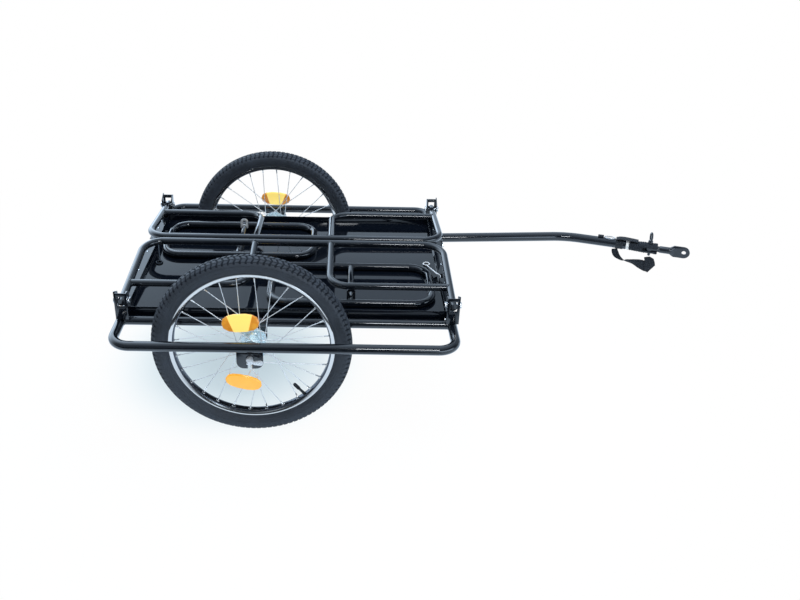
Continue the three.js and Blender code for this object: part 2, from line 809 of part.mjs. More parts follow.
// A corner bracket is a channel of folded sheet: a web outside, two ears and a foot.
// The ear at the trailer's end rises to a horn. It is drawn for the front left corner,
// about the hinge bolt, with the web towards +Y.
function bracketGeometry(x, side, end) {
  const halfInside = panelTube / 2 + bracketClear;
  const half = halfInside + bracketSheet;
  const foot = -panelHinge + frameRadius + gap;
  const top = foot + bracketTopRise - frameRadius;
  const web = bracketWebOffset;
  const back = web - bracketDepth;
  const profile = new THREE.Shape([
    new THREE.Vector2(-half, back), new THREE.Vector2(half, back), new THREE.Vector2(half, web),
    new THREE.Vector2(-half, web),
  ]);
  const body = flat(profile, top + bracketHorn - foot).translate(0, 0, foot);
  const inside = block(
    vec(-halfInside, back - overrun, foot + bracketSheet), vec(halfInside, web - bracketSheet, top + frameTube));
  const windowLow = foot + bracketWindowRise - frameRadius;
  const windowHalf = half - bracketWindowSide;
  const window = block(
    vec(-windowHalf, web - bracketSheet - overrun, windowLow),
    vec(windowHalf, web + overrun, windowLow + bracketWindowHeight));
  const overWeb = block(
    vec(-half - overrun, back - overrun, top), vec(halfInside, web + overrun, top + frameTube));
  // Both ears lose their inner top corner to a slope that leaves the horn standing outside.
  const slope = new THREE.Shape([
    new THREE.Vector2(web - bracketSheet, top + bracketHorn),
    new THREE.Vector2(back - overrun, top - bracketEarDrop),
    new THREE.Vector2(back - overrun, top + frameTube),
    new THREE.Vector2(web - bracketSheet, top + frameTube),
  ]);
  const earCut = flat(slope, 2 * (half + overrun)).translate(0, 0, -half - overrun);
  earCut.rotateY(Math.PI / 2).rotateX(Math.PI / 2);
  const bolt = bar(vec(-half - overrun, 0, 0), vec(half + overrun, 0, 0), hingeHoleRadius, holeFacets);
  const bracket = cut(body, [inside, window, overWeb, earCut, bolt]);
  return { bracket, half };
}

// The bolt's head is on the bed's side and its nut on the trailer's end.
function hingeBoltGeometry(half) {
  const head = half + gap;
  const shank = bar(vec(-head - weld, 0, 0), vec(head + weld, 0, 0), hingeBoltRadius, holeFacets);
  const capped = [-1, 1].map((sign) => bar(
    vec(sign * head, 0, 0), vec(sign * (head + hingeHeadLength), 0, 0), hingeHeadRadius, hexFacets));
  return joined([shank, ...capped]);
}

function addHinges(name, side) {
  for (const [endName, end] of Object.entries(ends)) {
    const x = end > 0 ? panelFront : panelRear;
    const { bracket, half } = bracketGeometry(x, side, end);
    const mesh = place(`panel_bracket_${endName}_${name}`, bracket, "black");
    mesh.position.set(x, side * hingeHalfWidth, hingeHeight);
    mesh.scale.set(end, side, 1);
    const bolt = place(`panel_bolt_${endName}_${name}`, hingeBoltGeometry(half), "steel");
    bolt.position.copy(mesh.position);
  }
}

// An end gate: a rounded loop of tube with a cross bar and a keyhole clip, drawn flat.
function gateGeometry() {
  const radius = gateTube / 2;
  const halfLength = gateLength / 2;
  const halfWidth = gateWidth / 2;
  const halves = [-1, 1].map((sign) => pipe([
    vec(-sign * weld, halfWidth, 0),
    vec(sign * halfLength, halfWidth, 0),
    vec(sign * halfLength, -halfWidth, 0),
    vec(-sign * weld, -halfWidth, 0),
  ], radius, gateBend, gateFacets, bendSteps - 1));
  const crossbar = bar(vec(0, -halfWidth, 0), vec(0, halfWidth, 0), radius * 0.85, gateFacets);
  const clip = new THREE.Shape();
  const half = gateClipWidth / 2;
  const top = radius + gateClipHeight;
  clip.moveTo(-half, 0);
  clip.lineTo(half, 0);
  clip.lineTo(half, top - half / 2);
  clip.lineTo(half / 2, top);
  clip.lineTo(-half / 2, top);
  clip.lineTo(-half, top - half / 2);
  clip.closePath();
  const strip = upright(clip, gateClipThickness).translate(0, -halfWidth + gateClipInset, 0);
  const keyhole = bar(
    vec(0, -halfWidth, top - gateClipHoleDrop), vec(0, 0, top - gateClipHoleDrop),
    gateClipHoleRadius, holeFacets);
  return joined([...halves, crossbar, cut(strip, [keyhole])]);
}

// A retaining hook: a wire over the tray's end wall, with a ring lying on the tray floor.
function hookGeometry(wallX, wallTop, floor) {
  const radius = hookWire / 2;
  const over = wallTop + 2 * gap + radius;
  const down = floor + gap + radius;
  const outside = wallX + radius + gap;
  const start = vec(outside, 0, over - hookLipDrop);
  const crest = vec(outside, 0, over);
  const inside = vec(wallX - traySheet - hookWire, hookLead, over);
  const ringEdge = vec(wallX - hookLean, hookSpan, down);
  const wire = pipe([start, crest, inside, ringEdge], radius, hookBend, hookFacets, 2);
  const ring = new THREE.TorusGeometry(hookRingRadius, radius, hookFacets, holeFacets);
  ring.translate(ringEdge.x, ringEdge.y + hookRingRadius, ringEdge.z);
  return joined([wire, ring]);
}

function addGates() {
  const centreX = (bedFront - bedRear) / 2;
  const floor = frameHeight + trayRise;
  const front = bedFront - gateFromEnd - gateLength / 2;
  for (const [name, end] of Object.entries(ends)) {
    const gate = place(`end_gate_${name}`, gateGeometry(), "black");
    gate.position.set(
      centreX + end * (front - centreX), -end * (gateInner + gateWidth / 2), floor + gap + gateTube / 2);
    gate.rotation.z = end > 0 ? 0 : Math.PI;
    const wallX = bedFront - frameRadius - trayEndClear;
    const hook = place(`gate_hook_${name}`, hookGeometry(wallX, floor + trayWall, floor), "steel");
    hook.geometry.translate(-centreX, -hookSpan, 0);
    hook.position.x = centreX;
    hook.rotation.z = end > 0 ? 0 : Math.PI;
  }
}

// Drawbar: butted to the front tube by two bolted plates, straight, then cranked towards the middle.
// It is drawn level, from the front tube's axis at X = 0, then pitched up a little about that axis.
const towing = new THREE.Group();
towing.position.set(bedFront, 0, frameHeight);
towing.rotation.y = -drawbarPitch * degrees;
group.add(towing);
const mountFace = frameRadius + gap;

function mountPlateShape() {
  const shape = new THREE.Shape();
  const low = -mountPlateInboard;
  const high = mountPlateOutboard;
  const half = mountPlateHeight / 2;
  const r = mountPlateCorner;
  shape.moveTo(low + r, -half);
  shape.lineTo(high - r, -half);
  shape.absarc(high - r, -half + r, r, -Math.PI / 2, 0, false);
  shape.lineTo(high, half - r);
  shape.absarc(high - r, half - r, r, 0, Math.PI / 2, false);
  shape.lineTo(low + r, half);
  shape.absarc(low + r, half - r, r, Math.PI / 2, Math.PI, false);
  shape.lineTo(low, -half + r);
  shape.absarc(low + r, -half + r, r, Math.PI, 1.5 * Math.PI, false);
  return shape;
}

// The plate's outline is in Y and Z, and its thickness runs forwards from the given face.
function mountPlateGeometry(face) {
  const plate = flat(mountPlateShape(), mountPlate).rotateX(Math.PI / 2).rotateZ(Math.PI / 2);
  plate.translate(face, drawbarOffset, 0);
  return plate;
}

const mountBoltPlaces = [0, 1].map((i) => drawbarOffset - mountPlateInboard + mountBoltInset + i * mountBoltPitch);

function boltHoles() {
  return mountBoltPlaces.map((y) => bar(
    vec(mountFace - overrun, y, 0), vec(mountFace + frameTube, y, 0), mountBoltHole, holeFacets));
}

function addDrawbar() {
  const welded = mountPlateGeometry(mountFace);
  place("drawbar_mount_plate", cut(welded, boltHoles()), "black", towing);
  const endFace = mountFace + mountPlate + gap;
  const bend = vec(drawbarReach, drawbarOffset, 0);
  const ahead = vec(Math.cos(drawbarAngle * degrees), -Math.sin(drawbarAngle * degrees), 0);
  const tip = bend.clone().addScaledVector(ahead, drawbarEnd);
  const root = vec(endFace + weld, drawbarOffset, 0);
  const bar28 = pipe([root, bend, tip], drawbarTube / 2, drawbarBend, drawbarFacets);
  const stub = bar(
    tip.clone().addScaledVector(ahead, -weld), tip.clone().addScaledVector(ahead, swivelLength),
    swivelRadius, axleFacets);
  const endPlate = cut(mountPlateGeometry(endFace), boltHoles());
  place("drawbar", joined([bar28, endPlate, stub]), "black", towing);
  mountBoltPlaces.forEach((y, index) => {
    const front = endFace + mountPlate + gap;
    const shank = bar(vec(mountFace + gap, y, 0), vec(front + weld, y, 0), mountBoltRadius, holeFacets);
    const head = bar(vec(front, y, 0), vec(front + mountBoltHeadLength, y, 0), mountBoltHead, hexFacets);
    place(`drawbar_bolt_${index + 1}`, joined([shank, head]), "steel", towing);
  });
}

// Coupler, pin, tongue and strap are drawn along X from the drawbar's bend, then turned with it.
const hitch = new THREE.Group();
hitch.position.set(drawbarReach, drawbarOffset, 0);
hitch.rotation.z = -drawbarAngle * degrees;
towing.add(hitch);

const couplerStart = drawbarEnd + gap + swivelRingLength + gap;
const couplerEnd = couplerStart + couplerLength;
const pinPlace = couplerEnd - pinSetback;

// A profile turned about X instead of Y.
function turnedAlongX(profile, facets) {
  return turned(profile, facets).rotateZ(-Math.PI / 2);
}

function couplerGeometry() {
  const bore = swivelRadius + gap;
  const boreEnd = drawbarEnd + swivelLength + gap;
  const profile = [[0, boreEnd], [bore, boreEnd], [bore, couplerStart], [couplerTailRadius, couplerStart]];
  const ribbed = couplerLength * couplerRibShare;
  const pitch = ribbed / couplerRibs;
  for (let i = 0; i < couplerRibs; i++) {
    const at = couplerStart + i * pitch;
    const radius = couplerTailRadius + ((couplerNoseRadius - couplerTailRadius) * i) / couplerRibs;
    profile.push([radius + couplerRib, at + pitch * 0.35]);
    profile.push([radius, at + pitch * 0.8]);
  }
  profile.push([couplerNoseRadius, couplerStart + ribbed]);
  profile.push([couplerNoseRadius, couplerEnd - weld]);
  profile.push([couplerNoseRadius - weld, couplerEnd]);
  profile.push([0, couplerEnd]);
  const body = turnedAlongX(profile, couplerFacets);
  const edge = couplerNoseRadius + overrun;
  const slot = block(
    vec(couplerEnd - couplerSlotDepth, -edge, -couplerSlot / 2), vec(couplerEnd + overrun, edge, couplerSlot / 2));
  const hole = bar(vec(pinPlace, 0, -edge), vec(pinPlace, 0, edge), pinHoleRadius, holeFacets);
  return cut(body, [slot, hole]);
}

function pinGeometry() {
  const seat = couplerNoseRadius + gap;
  const shank = bar(
    vec(0, 0, -couplerNoseRadius - pinFoot), vec(0, 0, seat + weld), pinRadius, holeFacets);
  const shoulder = bar(vec(0, 0, seat), vec(0, 0, seat + pinShoulderLength), pinShoulderRadius, axleFacets);
  const ring = new THREE.TorusGeometry(pinRingRadius, pinRingWire, hookFacets, axleFacets);
  ring.scale(1 / pinRingStretch, pinRingStretch, 1).rotateX(Math.PI / 2).rotateZ(-pinRingTurn * degrees);
  ring.translate(0, 0, seat + pinShoulderLength + pinRingRadius * pinRingStretch - weld / 2);
  return joined([shank, shoulder, ring]);
}

// The tongue starts as a flat eye on the pin, becomes a round neck and ends as an upright plate.
function tongueGeometry() {
  const eyeHalf = tongueEyeThickness / 2 - gap / 2;
  const eye = bar(vec(0, 0, -eyeHalf), vec(0, 0, eyeHalf), tongueEyeRadius, axleFacets);
  const strip = block(vec(0, -tongueNeckRadius, -eyeHalf), vec(tongueNeckStart + weld, tongueNeckRadius, eyeHalf));
  const neck = bar(vec(tongueNeckStart, 0, 0), vec(tongueNeckEnd + weld, 0, 0), tongueNeckRadius, axleFacets);
  const taper = new THREE.CylinderGeometry(
    tongueThickness / 2, tongueNeckRadius, tongueFlatStart - tongueNeckEnd, axleFacets);
  taper.rotateZ(-Math.PI / 2).translate((tongueFlatStart + tongueNeckEnd) / 2, 0, 0);
  const half = tongueHeight / 2;
  const centre = tongueLength - half;
  const side = new THREE.Shape();
  side.moveTo(tongueNeckEnd, -tongueNeckRadius);
  side.lineTo(tongueFlatStart, -half);
  side.lineTo(centre, -half);
  side.absarc(centre, 0, half, -Math.PI / 2, Math.PI / 2, false);
  side.lineTo(tongueFlatStart, half);
  side.lineTo(tongueNeckEnd, tongueNeckRadius);
  side.closePath();
  const plate = upright(side, tongueThickness);
  const pinHole = bar(vec(0, 0, -eyeHalf - overrun), vec(0, 0, eyeHalf + overrun), pinHoleRadius, holeFacets);
  const axleHole = bar(
    vec(tongueLength - tongueHoleSetback, -tongueThickness, 0),
    vec(tongueLength - tongueHoleSetback, tongueThickness, 0), tongueHoleRadius, axleFacets);
  return cut(joined([eye, strip, neck, taper, plate]), [pinHole, axleHole]);
}

function addCoupler() {
  const ringBore = swivelRadius + gap;
  const ring = [
    [ringBore, drawbarEnd + gap], [swivelRingRadius, drawbarEnd + gap],
    [swivelRingRadius, couplerStart - gap], [ringBore, couplerStart - gap],
  ];
  place("swivel_ring", turnedAlongX(ring, couplerFacets), "nylon", hitch);
  place("coupler_body", couplerGeometry(), "rubber", hitch);
  place("hitch_pin", pinGeometry(), "black", hitch).position.x = pinPlace;
  place("hitch_tongue", tongueGeometry(), "black", hitch).position.x = pinPlace;
}

// Webbing is a ribbon: a line in X and Z with a thickness, as wide as the strap.
function ribbon(points) {
  const line = points.map(([x, z]) => new THREE.Vector2(x, z));
  const offset = (distance) => line.map((point, i) => {
    const before = line[Math.max(i - 1, 0)];
    const after = line[Math.min(i + 1, line.length - 1)];
    const along = after.clone().sub(before).normalize();
    return new THREE.Vector2(point.x - along.y * distance, point.y + along.x * distance);
  });
  const outline = [...offset(webbing / 2), ...offset(-webbing / 2).reverse()];
  return upright(new THREE.Shape(outline), strapWidth);
}

function addStrap() {
  const barRadius = drawbarTube / 2;
  const inside = (barRadius + gap) / Math.cos(Math.PI / couplerFacets);
  const outside = inside + webbing;
  const half = strapWidth / 2;
  const band = turnedAlongX([
    [inside, strapBandPlace - half], [outside, strapBandPlace - half],
    [outside, strapBandPlace + half], [inside, strapBandPlace + half],
  ], couplerFacets);
  const over = (inside + outside) / 2;
  const lifted = over + swivelRingRadius - barRadius + webbing;
  const top = ribbon([
    [strapBandPlace, over], [strapBandPlace + half, over], [strapTopEnd - strapWidth, over + webbing],
    [strapTopEnd, lifted],
  ]);
  place("strap_band", joined([band, top]), "webbing", hitch);
  const under = -(outside + gap + webbing / 2);
  const tail = strapTailShares.map(([along, down]) => [
    strapBandPlace + along * strapTailReach, under - down * (strapTailDrop - barRadius),
  ]);
  place("strap_tail", ribbon(tail), "webbing", hitch);
  const wire = strapRingWire / 2;
  const ringRadius = strapRingWidth / 2 - wire;
  const ring = new THREE.TorusGeometry(ringRadius, wire, hookFacets, axleFacets);
  ring.scale(strapRingLength / strapRingWidth, 1, 1);
  ring.translate(strapHookPlace + strapHookLength + strapRingLength / 2, 0, inside + wire);
  place("strap_ring", ring, "steel", hitch);
  const hook = block(
    vec(strapHookPlace, -strapHookWidth / 2, inside),
    vec(strapHookPlace + strapHookLength - gap, strapHookWidth / 2, inside + strapHookHeight));
  place("strap_hook", hook, "rubber", hitch);
}

addBedFrame();
addWheelGuards();
addTray();
addAxlePlates();
for (const [name, side] of Object.entries(sides)) {
  addWheel(name, side);
  addAxle(name, side);
  addPanel(name, side);
  addHinges(name, side);
}
addGates();
addDrawbar();
addCoupler();
addStrap();

// The origin is on the ground, under the middle of the trailer's outline.
trailer.updateMatrixWorld(true);
const outline = new THREE.Box3().setFromObject(trailer, true);
const centre = outline.getCenter(new THREE.Vector3());
group.position.set(-centre.x, -centre.y, -outline.min.z);

export default trailer;
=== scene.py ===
import math

import bmesh
import bpy
from bpy.props import FloatProperty, FloatVectorProperty, IntProperty, PointerProperty
from bpy.types import Operator, Panel, PropertyGroup
from mathutils import Matrix, Vector


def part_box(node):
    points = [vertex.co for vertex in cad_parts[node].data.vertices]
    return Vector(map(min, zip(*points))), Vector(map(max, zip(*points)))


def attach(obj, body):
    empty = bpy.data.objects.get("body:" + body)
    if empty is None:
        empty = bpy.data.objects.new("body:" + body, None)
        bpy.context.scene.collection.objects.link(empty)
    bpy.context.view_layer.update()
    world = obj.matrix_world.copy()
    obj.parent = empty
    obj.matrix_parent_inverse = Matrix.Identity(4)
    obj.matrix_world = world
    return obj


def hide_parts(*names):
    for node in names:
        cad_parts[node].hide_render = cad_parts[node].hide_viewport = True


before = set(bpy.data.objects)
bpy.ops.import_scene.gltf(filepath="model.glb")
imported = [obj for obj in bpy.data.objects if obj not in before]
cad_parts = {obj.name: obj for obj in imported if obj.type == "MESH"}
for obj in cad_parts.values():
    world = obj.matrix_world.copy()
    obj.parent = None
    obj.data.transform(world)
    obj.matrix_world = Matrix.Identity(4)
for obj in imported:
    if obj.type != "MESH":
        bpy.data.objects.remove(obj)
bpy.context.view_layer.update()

bl_info = {
    "name": "Cargo bike trailer",
    "version": (1, 0, 0),
    "blender": (4, 5, 0),
    "location": "View3D > Sidebar > Trailer",
    "description": "Dresses the packed trailer in its finished pieces and studio",
    "category": "Object",
}

# Points in space are in metres. Sections and outlines, drawn in two dimensions, are in millimetres.
MM = 0.001
X, Y, Z = (Vector(axis) for axis in ((1, 0, 0), (0, 1, 0), (0, 0, 1)))
SIDES = {"left": 1, "right": -1}
ENDS = {"front": 1, "rear": -1}


def corners(node):
    low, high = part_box(node)
    return Vector(low), Vector(high)


def middle(node):
    low, high = corners(node)
    return (low + high) / 2


def size(node):
    low, high = corners(node)
    return high - low


# Places and sizes read from the frame, so the pieces follow the solids
AXLE_X, WHEEL_Y, AXLE_Z = middle("tyre_left")
TYRE_RADIUS = size("tyre_left").z / 2
TUBE_Z = middle("frame_side_tube_left").z
BED_Y = middle("frame_side_tube_left").y
FRONT_X = middle("frame_end_tube_front").x
REAR_X = middle("frame_end_tube_rear").x
HINGE_Z = middle("panel_bolt_front_left").z
HINGE_Y = middle("panel_bolt_front_left").y

# Radii of the tubes, and the angles at which the panels and the drawbar lie
FRAME_TUBE = 0.0125
CROSS_TUBE = 0.01
PANEL_TUBE = 0.01
PANEL_RAIL = 0.0094
GATE_BAR = 0.0085
BAR_TUBE = 0.014
GUARD_Y = corners("wheel_guard_left")[1].y - FRAME_TUBE
PANEL_TILT = math.radians(5.4)
HITCH_ANGLE = math.radians(20.8)
HITCH_PITCH = math.radians(1.8)


# Sizes and colours that a user would change

def colour(name, description, default):
    return FloatVectorProperty(
        name=name, description=description, subtype="COLOR", size=3, default=default, min=0, max=1)


def length(name, description, default):
    return FloatProperty(name=name, description=description, default=default, unit="LENGTH", precision=4)


def count(name, description, default, low, high):
    return IntProperty(name=name, description=description, default=default, min=low, max=high)


def brightness(name, description, default):
    return FloatProperty(name=name, description=description, default=default)


class TubeSettings(PropertyGroup):
    sides: count("Sides", "Facets round a tube", 40, 12, 96)
    bend_steps: count("Bend steps", "Steps in each bend", 14, 4, 48)
    weld_size: length("Weld bead", "Radius of the weld beads", 0.0021)
    paint: colour("Paint", "Colour of the gloss powder coat", (0.002, 0.0035, 0.007))


class WheelSettings(PropertyGroup):
    segments: count("Segments", "Facets round a wheel", 168, 48, 360)
    tread_pitch: count("Tread blocks", "Blocks round the tyre", 108, 20, 140)
    tread_depth: length("Tread depth", "Depth of the grooves", 0.0018)
    spokes: count("Spokes", "Spokes in each wheel", 28, 12, 48)
    spoke_width: length("Spoke width", "Diameter of a spoke", 0.0021)
    rubber: colour("Rubber", "Colour of the tyres", (0.017, 0.0225, 0.032))
    amber: colour("Amber", "Colour of the reflectors", (1.0, 0.46, 0.03))


class TraySettings(PropertyGroup):
    edge: length("Edge radius", "Rounding of the sheet's edges", 0.0004)
    sheet: colour("Sheet", "Colour of the lacquered sheet", (0.002, 0.0035, 0.007))


class HitchSettings(PropertyGroup):
    ribs: count("Ribs", "Ribs on the coupler", 9, 3, 20)
    webbing: colour("Webbing", "Colour of the strap", (0.006, 0.0085, 0.013))


class StudioSettings(PropertyGroup):
    backdrop: colour("Backdrop", "Colour of floor and backdrop", (0.82, 0.89, 0.95))
    reflection: colour("Reflection", "Tint of the room in glossy pieces", (0.66, 0.82, 1.0))
    shadow_share: FloatProperty(
        name="Shadow lift", description="How far the floor under the trailer turns white", default=0.6, min=0, max=1)
    back_wall: brightness("Back wall", "Brightness of the wall in reflections", 0.85)
    ceiling: brightness("Ceiling", "Brightness overhead in reflections", 0.6)
    front_room: brightness("Front room", "Brightness in front in reflections", 0.08)
    open_side: brightness("Open side", "Brightness at the front right in reflections", 2.8)
    key_power: FloatProperty(name="Key light", description="Power of the overhead light", default=75, unit="POWER")


# Node trees

class Graph:
    """A node tree that is wired by short calls; a socket takes another node's output or a plain value."""

    def __init__(self, tree):
        self.tree = tree

    def add(self, kind, sockets=None, **settings):
        made = self.tree.nodes.new(kind)
        for key, value in settings.items():
            setattr(made, key, value)
        self.fill(made, sockets or {})
        return made

    def fill(self, target, sockets):
        for socket, value in sockets.items():
            if isinstance(value, bpy.types.NodeSocket):
                self.tree.links.new(value, target.inputs[socket])
            else:
                target.inputs[socket].default_value = value

    def place(self, kind="Object"):
        return self.add("ShaderNodeTexCoord").outputs[kind]

    def parts(self, vector):
        return self.add("ShaderNodeSeparateXYZ", {0: vector}).outputs

    def noise(self, place, scale, detail, roughness=0.5):
        sockets = {"Vector": place, "Scale": scale, "Detail": detail, "Roughness": roughness}
        return self.add("ShaderNodeTexNoise", sockets).outputs["Fac"]

    def cells(self, place, scale, randomness=1.0):
        return self.add("ShaderNodeTexVoronoi", {"Vector": place, "Scale": scale, "Randomness": randomness}).outputs

    def ramp(self, value, start, stop, low=0.0, high=1.0, shape="LINEAR"):
        sockets = {"Value": value, "From Min": start, "From Max": stop, "To Min": low, "To Max": high}
        return self.add("ShaderNodeMapRange", sockets, interpolation_type=shape).outputs[0]

    def ease(self, *values):
        return self.ramp(*values, shape="SMOOTHSTEP")

    def maths(self, operation, first, *others):
        """One operation along a chain of values, or on the first value alone."""
        if not others:
            return self.add("ShaderNodeMath", {0: first}, operation=operation).outputs[0]
        for value in others:
            first = self.add("ShaderNodeMath", {0: first, 1: value}, operation=operation).outputs[0]
        return first

    def blend(self, factor, first, second):
        """A mix of two colours, whose sockets share names and so are told by their places."""
        return self.add("ShaderNodeMix", {0: factor, 6: first, 7: second}, data_type="RGBA").outputs[2]

    def choose(self, factor, first, second):
        return self.add("ShaderNodeMixShader", {0: factor, 1: first, 2: second}).outputs[0]

    def bump(self, height, strength=1.0):
        sockets = {"Height": height, "Strength": strength, "Distance": 1.0}
        return self.add("ShaderNodeBump", sockets).outputs[0]

    def effect(self, name, sockets):
        return self.add("ShaderNodeGroup", sockets, node_tree=bpy.data.node_groups[name]).outputs


SOCKETS = {float: "Float", int: "Int", tuple: "Color", Vector: "Vector"}


def new_group(name, family, inputs, outputs):
    """A node group; an input is given by its default value, or by its kind where it has none."""
    graph = Graph(bpy.data.node_groups.new(name, f"{family}NodeTree"))
    sockets = graph.tree.interface
    for label, value in inputs.items():
        kind = value if isinstance(value, str) else SOCKETS[type(value)]
        made = sockets.new_socket(name=label, in_out="INPUT", socket_type=f"NodeSocket{kind}")
        if kind != value:
            made.default_value = value
    for label, kind in outputs.items():
        sockets.new_socket(name=label, in_out="OUTPUT", socket_type=f"NodeSocket{kind}")
    graph.entry = graph.add("NodeGroupInput").outputs
    graph.leave = graph.add("NodeGroupOutput")
    return graph


def build_orange_peel():
    """Powder coat: a fine ripple in the surface and slow changes of gloss."""
    graph = new_group(
        "Orange peel", "Shader", {"Scale": 420.0, "Depth": 0.0003, "Gloss low": 0.08, "Gloss high": 0.2},
        {"Height": "Float", "Roughness": "Float"})
    entry, place = graph.entry, graph.place()
    ripple = graph.noise(place, entry["Scale"], 2.0)
    cloud = graph.noise(place, 9.0, 4.0)
    graph.fill(graph.leave, {
        "Height": graph.maths("MULTIPLY", ripple, entry["Depth"]),
        "Roughness": graph.ramp(cloud, 0.3, 0.7, entry["Gloss low"], entry["Gloss high"])})


def build_dust():
    """Fine dust and rubbed spots that shift a colour a little."""
    graph = new_group(
        "Dust", "Shader", {"Color": (0, 0, 0, 1), "Dust": (0.3, 0.3, 0.3, 1), "Amount": 0.04, "Scale": 60.0},
        {"Color": "Color"})
    entry = graph.entry
    specks = graph.noise(graph.place(), entry["Scale"], 6.0, 0.7)
    mask = graph.ramp(specks, 0.42, 0.75, 0.0, entry["Amount"])
    graph.fill(graph.leave, {"Color": graph.blend(mask, entry["Color"], entry["Dust"])})


def build_drawn_metal():
    """Plated or drawn metal: streaks in roughness and a slight change of tone."""
    graph = new_group(
        "Drawn metal", "Shader", {"Color": (0.8, 0.8, 0.8, 1), "Tint": (0.7, 0.8, 0.9, 1), "Scale": 300.0,
                                  "Gloss low": 0.1, "Gloss high": 0.3},
        {"Color": "Color", "Roughness": "Float", "Height": "Float"})
    entry, place = graph.entry, graph.place()
    streak = graph.noise(place, entry["Scale"], 5.0)
    tone = graph.noise(place, 22.0, 3.0)
    graph.fill(graph.leave, {
        "Color": graph.blend(tone, entry["Color"], entry["Tint"]),
        "Roughness": graph.ramp(streak, 0.3, 0.7, entry["Gloss low"], entry["Gloss high"]),
        "Height": graph.maths("MULTIPLY", streak, 0.00004)})


def build_grain():
    """Moulded rubber or plastic: a fine pebbled skin with cloudy wear."""
    graph = new_group(
        "Moulded grain", "Shader", {"Color": (0.02, 0.02, 0.02, 1), "Worn": (0.06, 0.06, 0.06, 1),
                                    "Scale": 900.0, "Depth": 0.0001},
        {"Color": "Color", "Height": "Float", "Roughness": "Float"})
    entry, place = graph.entry, graph.place()
    pebble = graph.cells(place, entry["Scale"])["Distance"]
    cloud = graph.noise(place, 30.0, 6.0)
    wear = graph.ramp(cloud, 0.35, 0.8, 0.0, 0.6)
    graph.fill(graph.leave, {
        "Color": graph.blend(wear, entry["Color"], entry["Worn"]),
        "Height": graph.maths("MULTIPLY", pebble, entry["Depth"]),
        "Roughness": graph.ramp(cloud, 0.0, 1.0, 0.5, 0.8)})


def build_tube_tree():
    """Geometry nodes: a round tube along every line of a curve, with closed ends."""
    graph = new_group(
        "Bent tube", "Geometry", {"Geometry": "Geometry", "Radius": 0.01, "Sides": 32, "Material": "Material"},
        {"Geometry": "Geometry"})
    entry = graph.entry
    ring = graph.add("GeometryNodeCurvePrimitiveCircle", {"Resolution": entry["Sides"], "Radius": entry["Radius"]})
    tube = graph.add("GeometryNodeCurveToMesh", {
        "Curve": entry["Geometry"], "Profile Curve": ring.outputs[0], "Fill Caps": True})
    painted(graph, tube)


def build_ring_tree():
    """Geometry nodes: copies of a mesh turned about an axis along Y through a centre."""
    graph = new_group(
        "Ring of copies", "Geometry",
        {"Geometry": "Geometry", "Count": 8, "Centre": Vector(), "Material": "Material"}, {"Geometry": "Geometry"})
    entry = graph.entry
    line = graph.add("GeometryNodeMeshLine", {"Count": entry["Count"], "Offset": (0, 0, 0)})
    copies = graph.add("GeometryNodeInstanceOnPoints", {"Points": line.outputs[0], "Instance": entry["Geometry"]})
    step = graph.maths("DIVIDE", 2 * math.pi, entry["Count"])
    angle = graph.maths("MULTIPLY", graph.add("GeometryNodeInputIndex").outputs[0], step)
    turn = graph.add("ShaderNodeCombineXYZ", {"Y": angle})
    spun = graph.add("GeometryNodeRotateInstances", {
        "Instances": copies.outputs[0], "Rotation": turn.outputs[0], "Pivot Point": entry["Centre"],
        "Local Space": False})
    painted(graph, spun)


def painted(graph, shape):
    """Ends a geometry tree: its instances turn real and take the material."""
    real = graph.add("GeometryNodeRealizeInstances", {"Geometry": shape.outputs[0]})
    coat = graph.add("GeometryNodeSetMaterial", {"Geometry": real.outputs[0], "Material": graph.entry["Material"]})
    graph.fill(graph.leave, {0: coat.outputs[0]})


# Materials

PAINT = "Gloss black powder coat"
SHEET = "Lacquered sheet"
CHROME = "Chrome"
BARE = "Bare steel"
ZINC = "Bright zinc"
RUBBER = "Tyre rubber"
PLASTIC = "Black plastic"
WEBBING = "Black webbing"

# Colour, second tone, gloss from and to, scale of the streaks, and how metallic
METALS = {
    CHROME: ((0.97, 0.91, 0.86), (0.9, 0.86, 0.82), 0.04, 0.12, 500.0, 1.0),
    "Pale blue zinc": ((0.82, 0.96, 1.0), (0.66, 0.86, 0.94), 0.2, 0.35, 260.0, 0.5),
    # The rear hook is the same steel as the front one; this dark metal is a painted shade
    "Hook steel, painted shade": ((0.05, 0.056, 0.066), (0.03, 0.035, 0.045), 0.2, 0.35, 320.0, 1.0),
    # The rim's well is the same chrome; this dark metal is a painted shade in place of its bright reflection
    "Rim well, painted shade": ((0.12, 0.13, 0.15), (0.08, 0.09, 0.11), 0.15, 0.3, 400.0, 1.0),
    ZINC: ((0.8, 0.81, 0.82), (0.66, 0.7, 0.74), 0.15, 0.32, 320.0, 1.0),
    "Spoke steel": ((0.92, 0.94, 0.96), (0.82, 0.86, 0.9), 0.25, 0.4, 600.0, 0.5),
    BARE: ((0.88, 0.9, 0.92), (0.74, 0.78, 0.82), 0.22, 0.38, 320.0, 0.45),
}


def rgba(colour):
    return (*colour, 1.0)


def times(colour, *shares):
    """A colour with its three parts scaled, by one share or by one each."""
    return tuple(part * share for part, share in zip(colour, shares if len(shares) > 1 else shares * 3))


def new_material(name, **plain):
    material = bpy.data.materials.new(name)
    material.use_nodes = True
    graph = Graph(material.node_tree)
    graph.shader = graph.tree.nodes["Principled BSDF"]
    graph.fill(graph.shader, {label.replace("_", " "): value for label, value in plain.items()})
    return graph


def cover(graph, base, skin):
    """Gives the shader its base colour, and the roughness and the height of an effect."""
    graph.fill(graph.shader, {
        "Base Color": base["Color"], "Roughness": skin["Roughness"], "Normal": graph.bump(skin["Height"])})


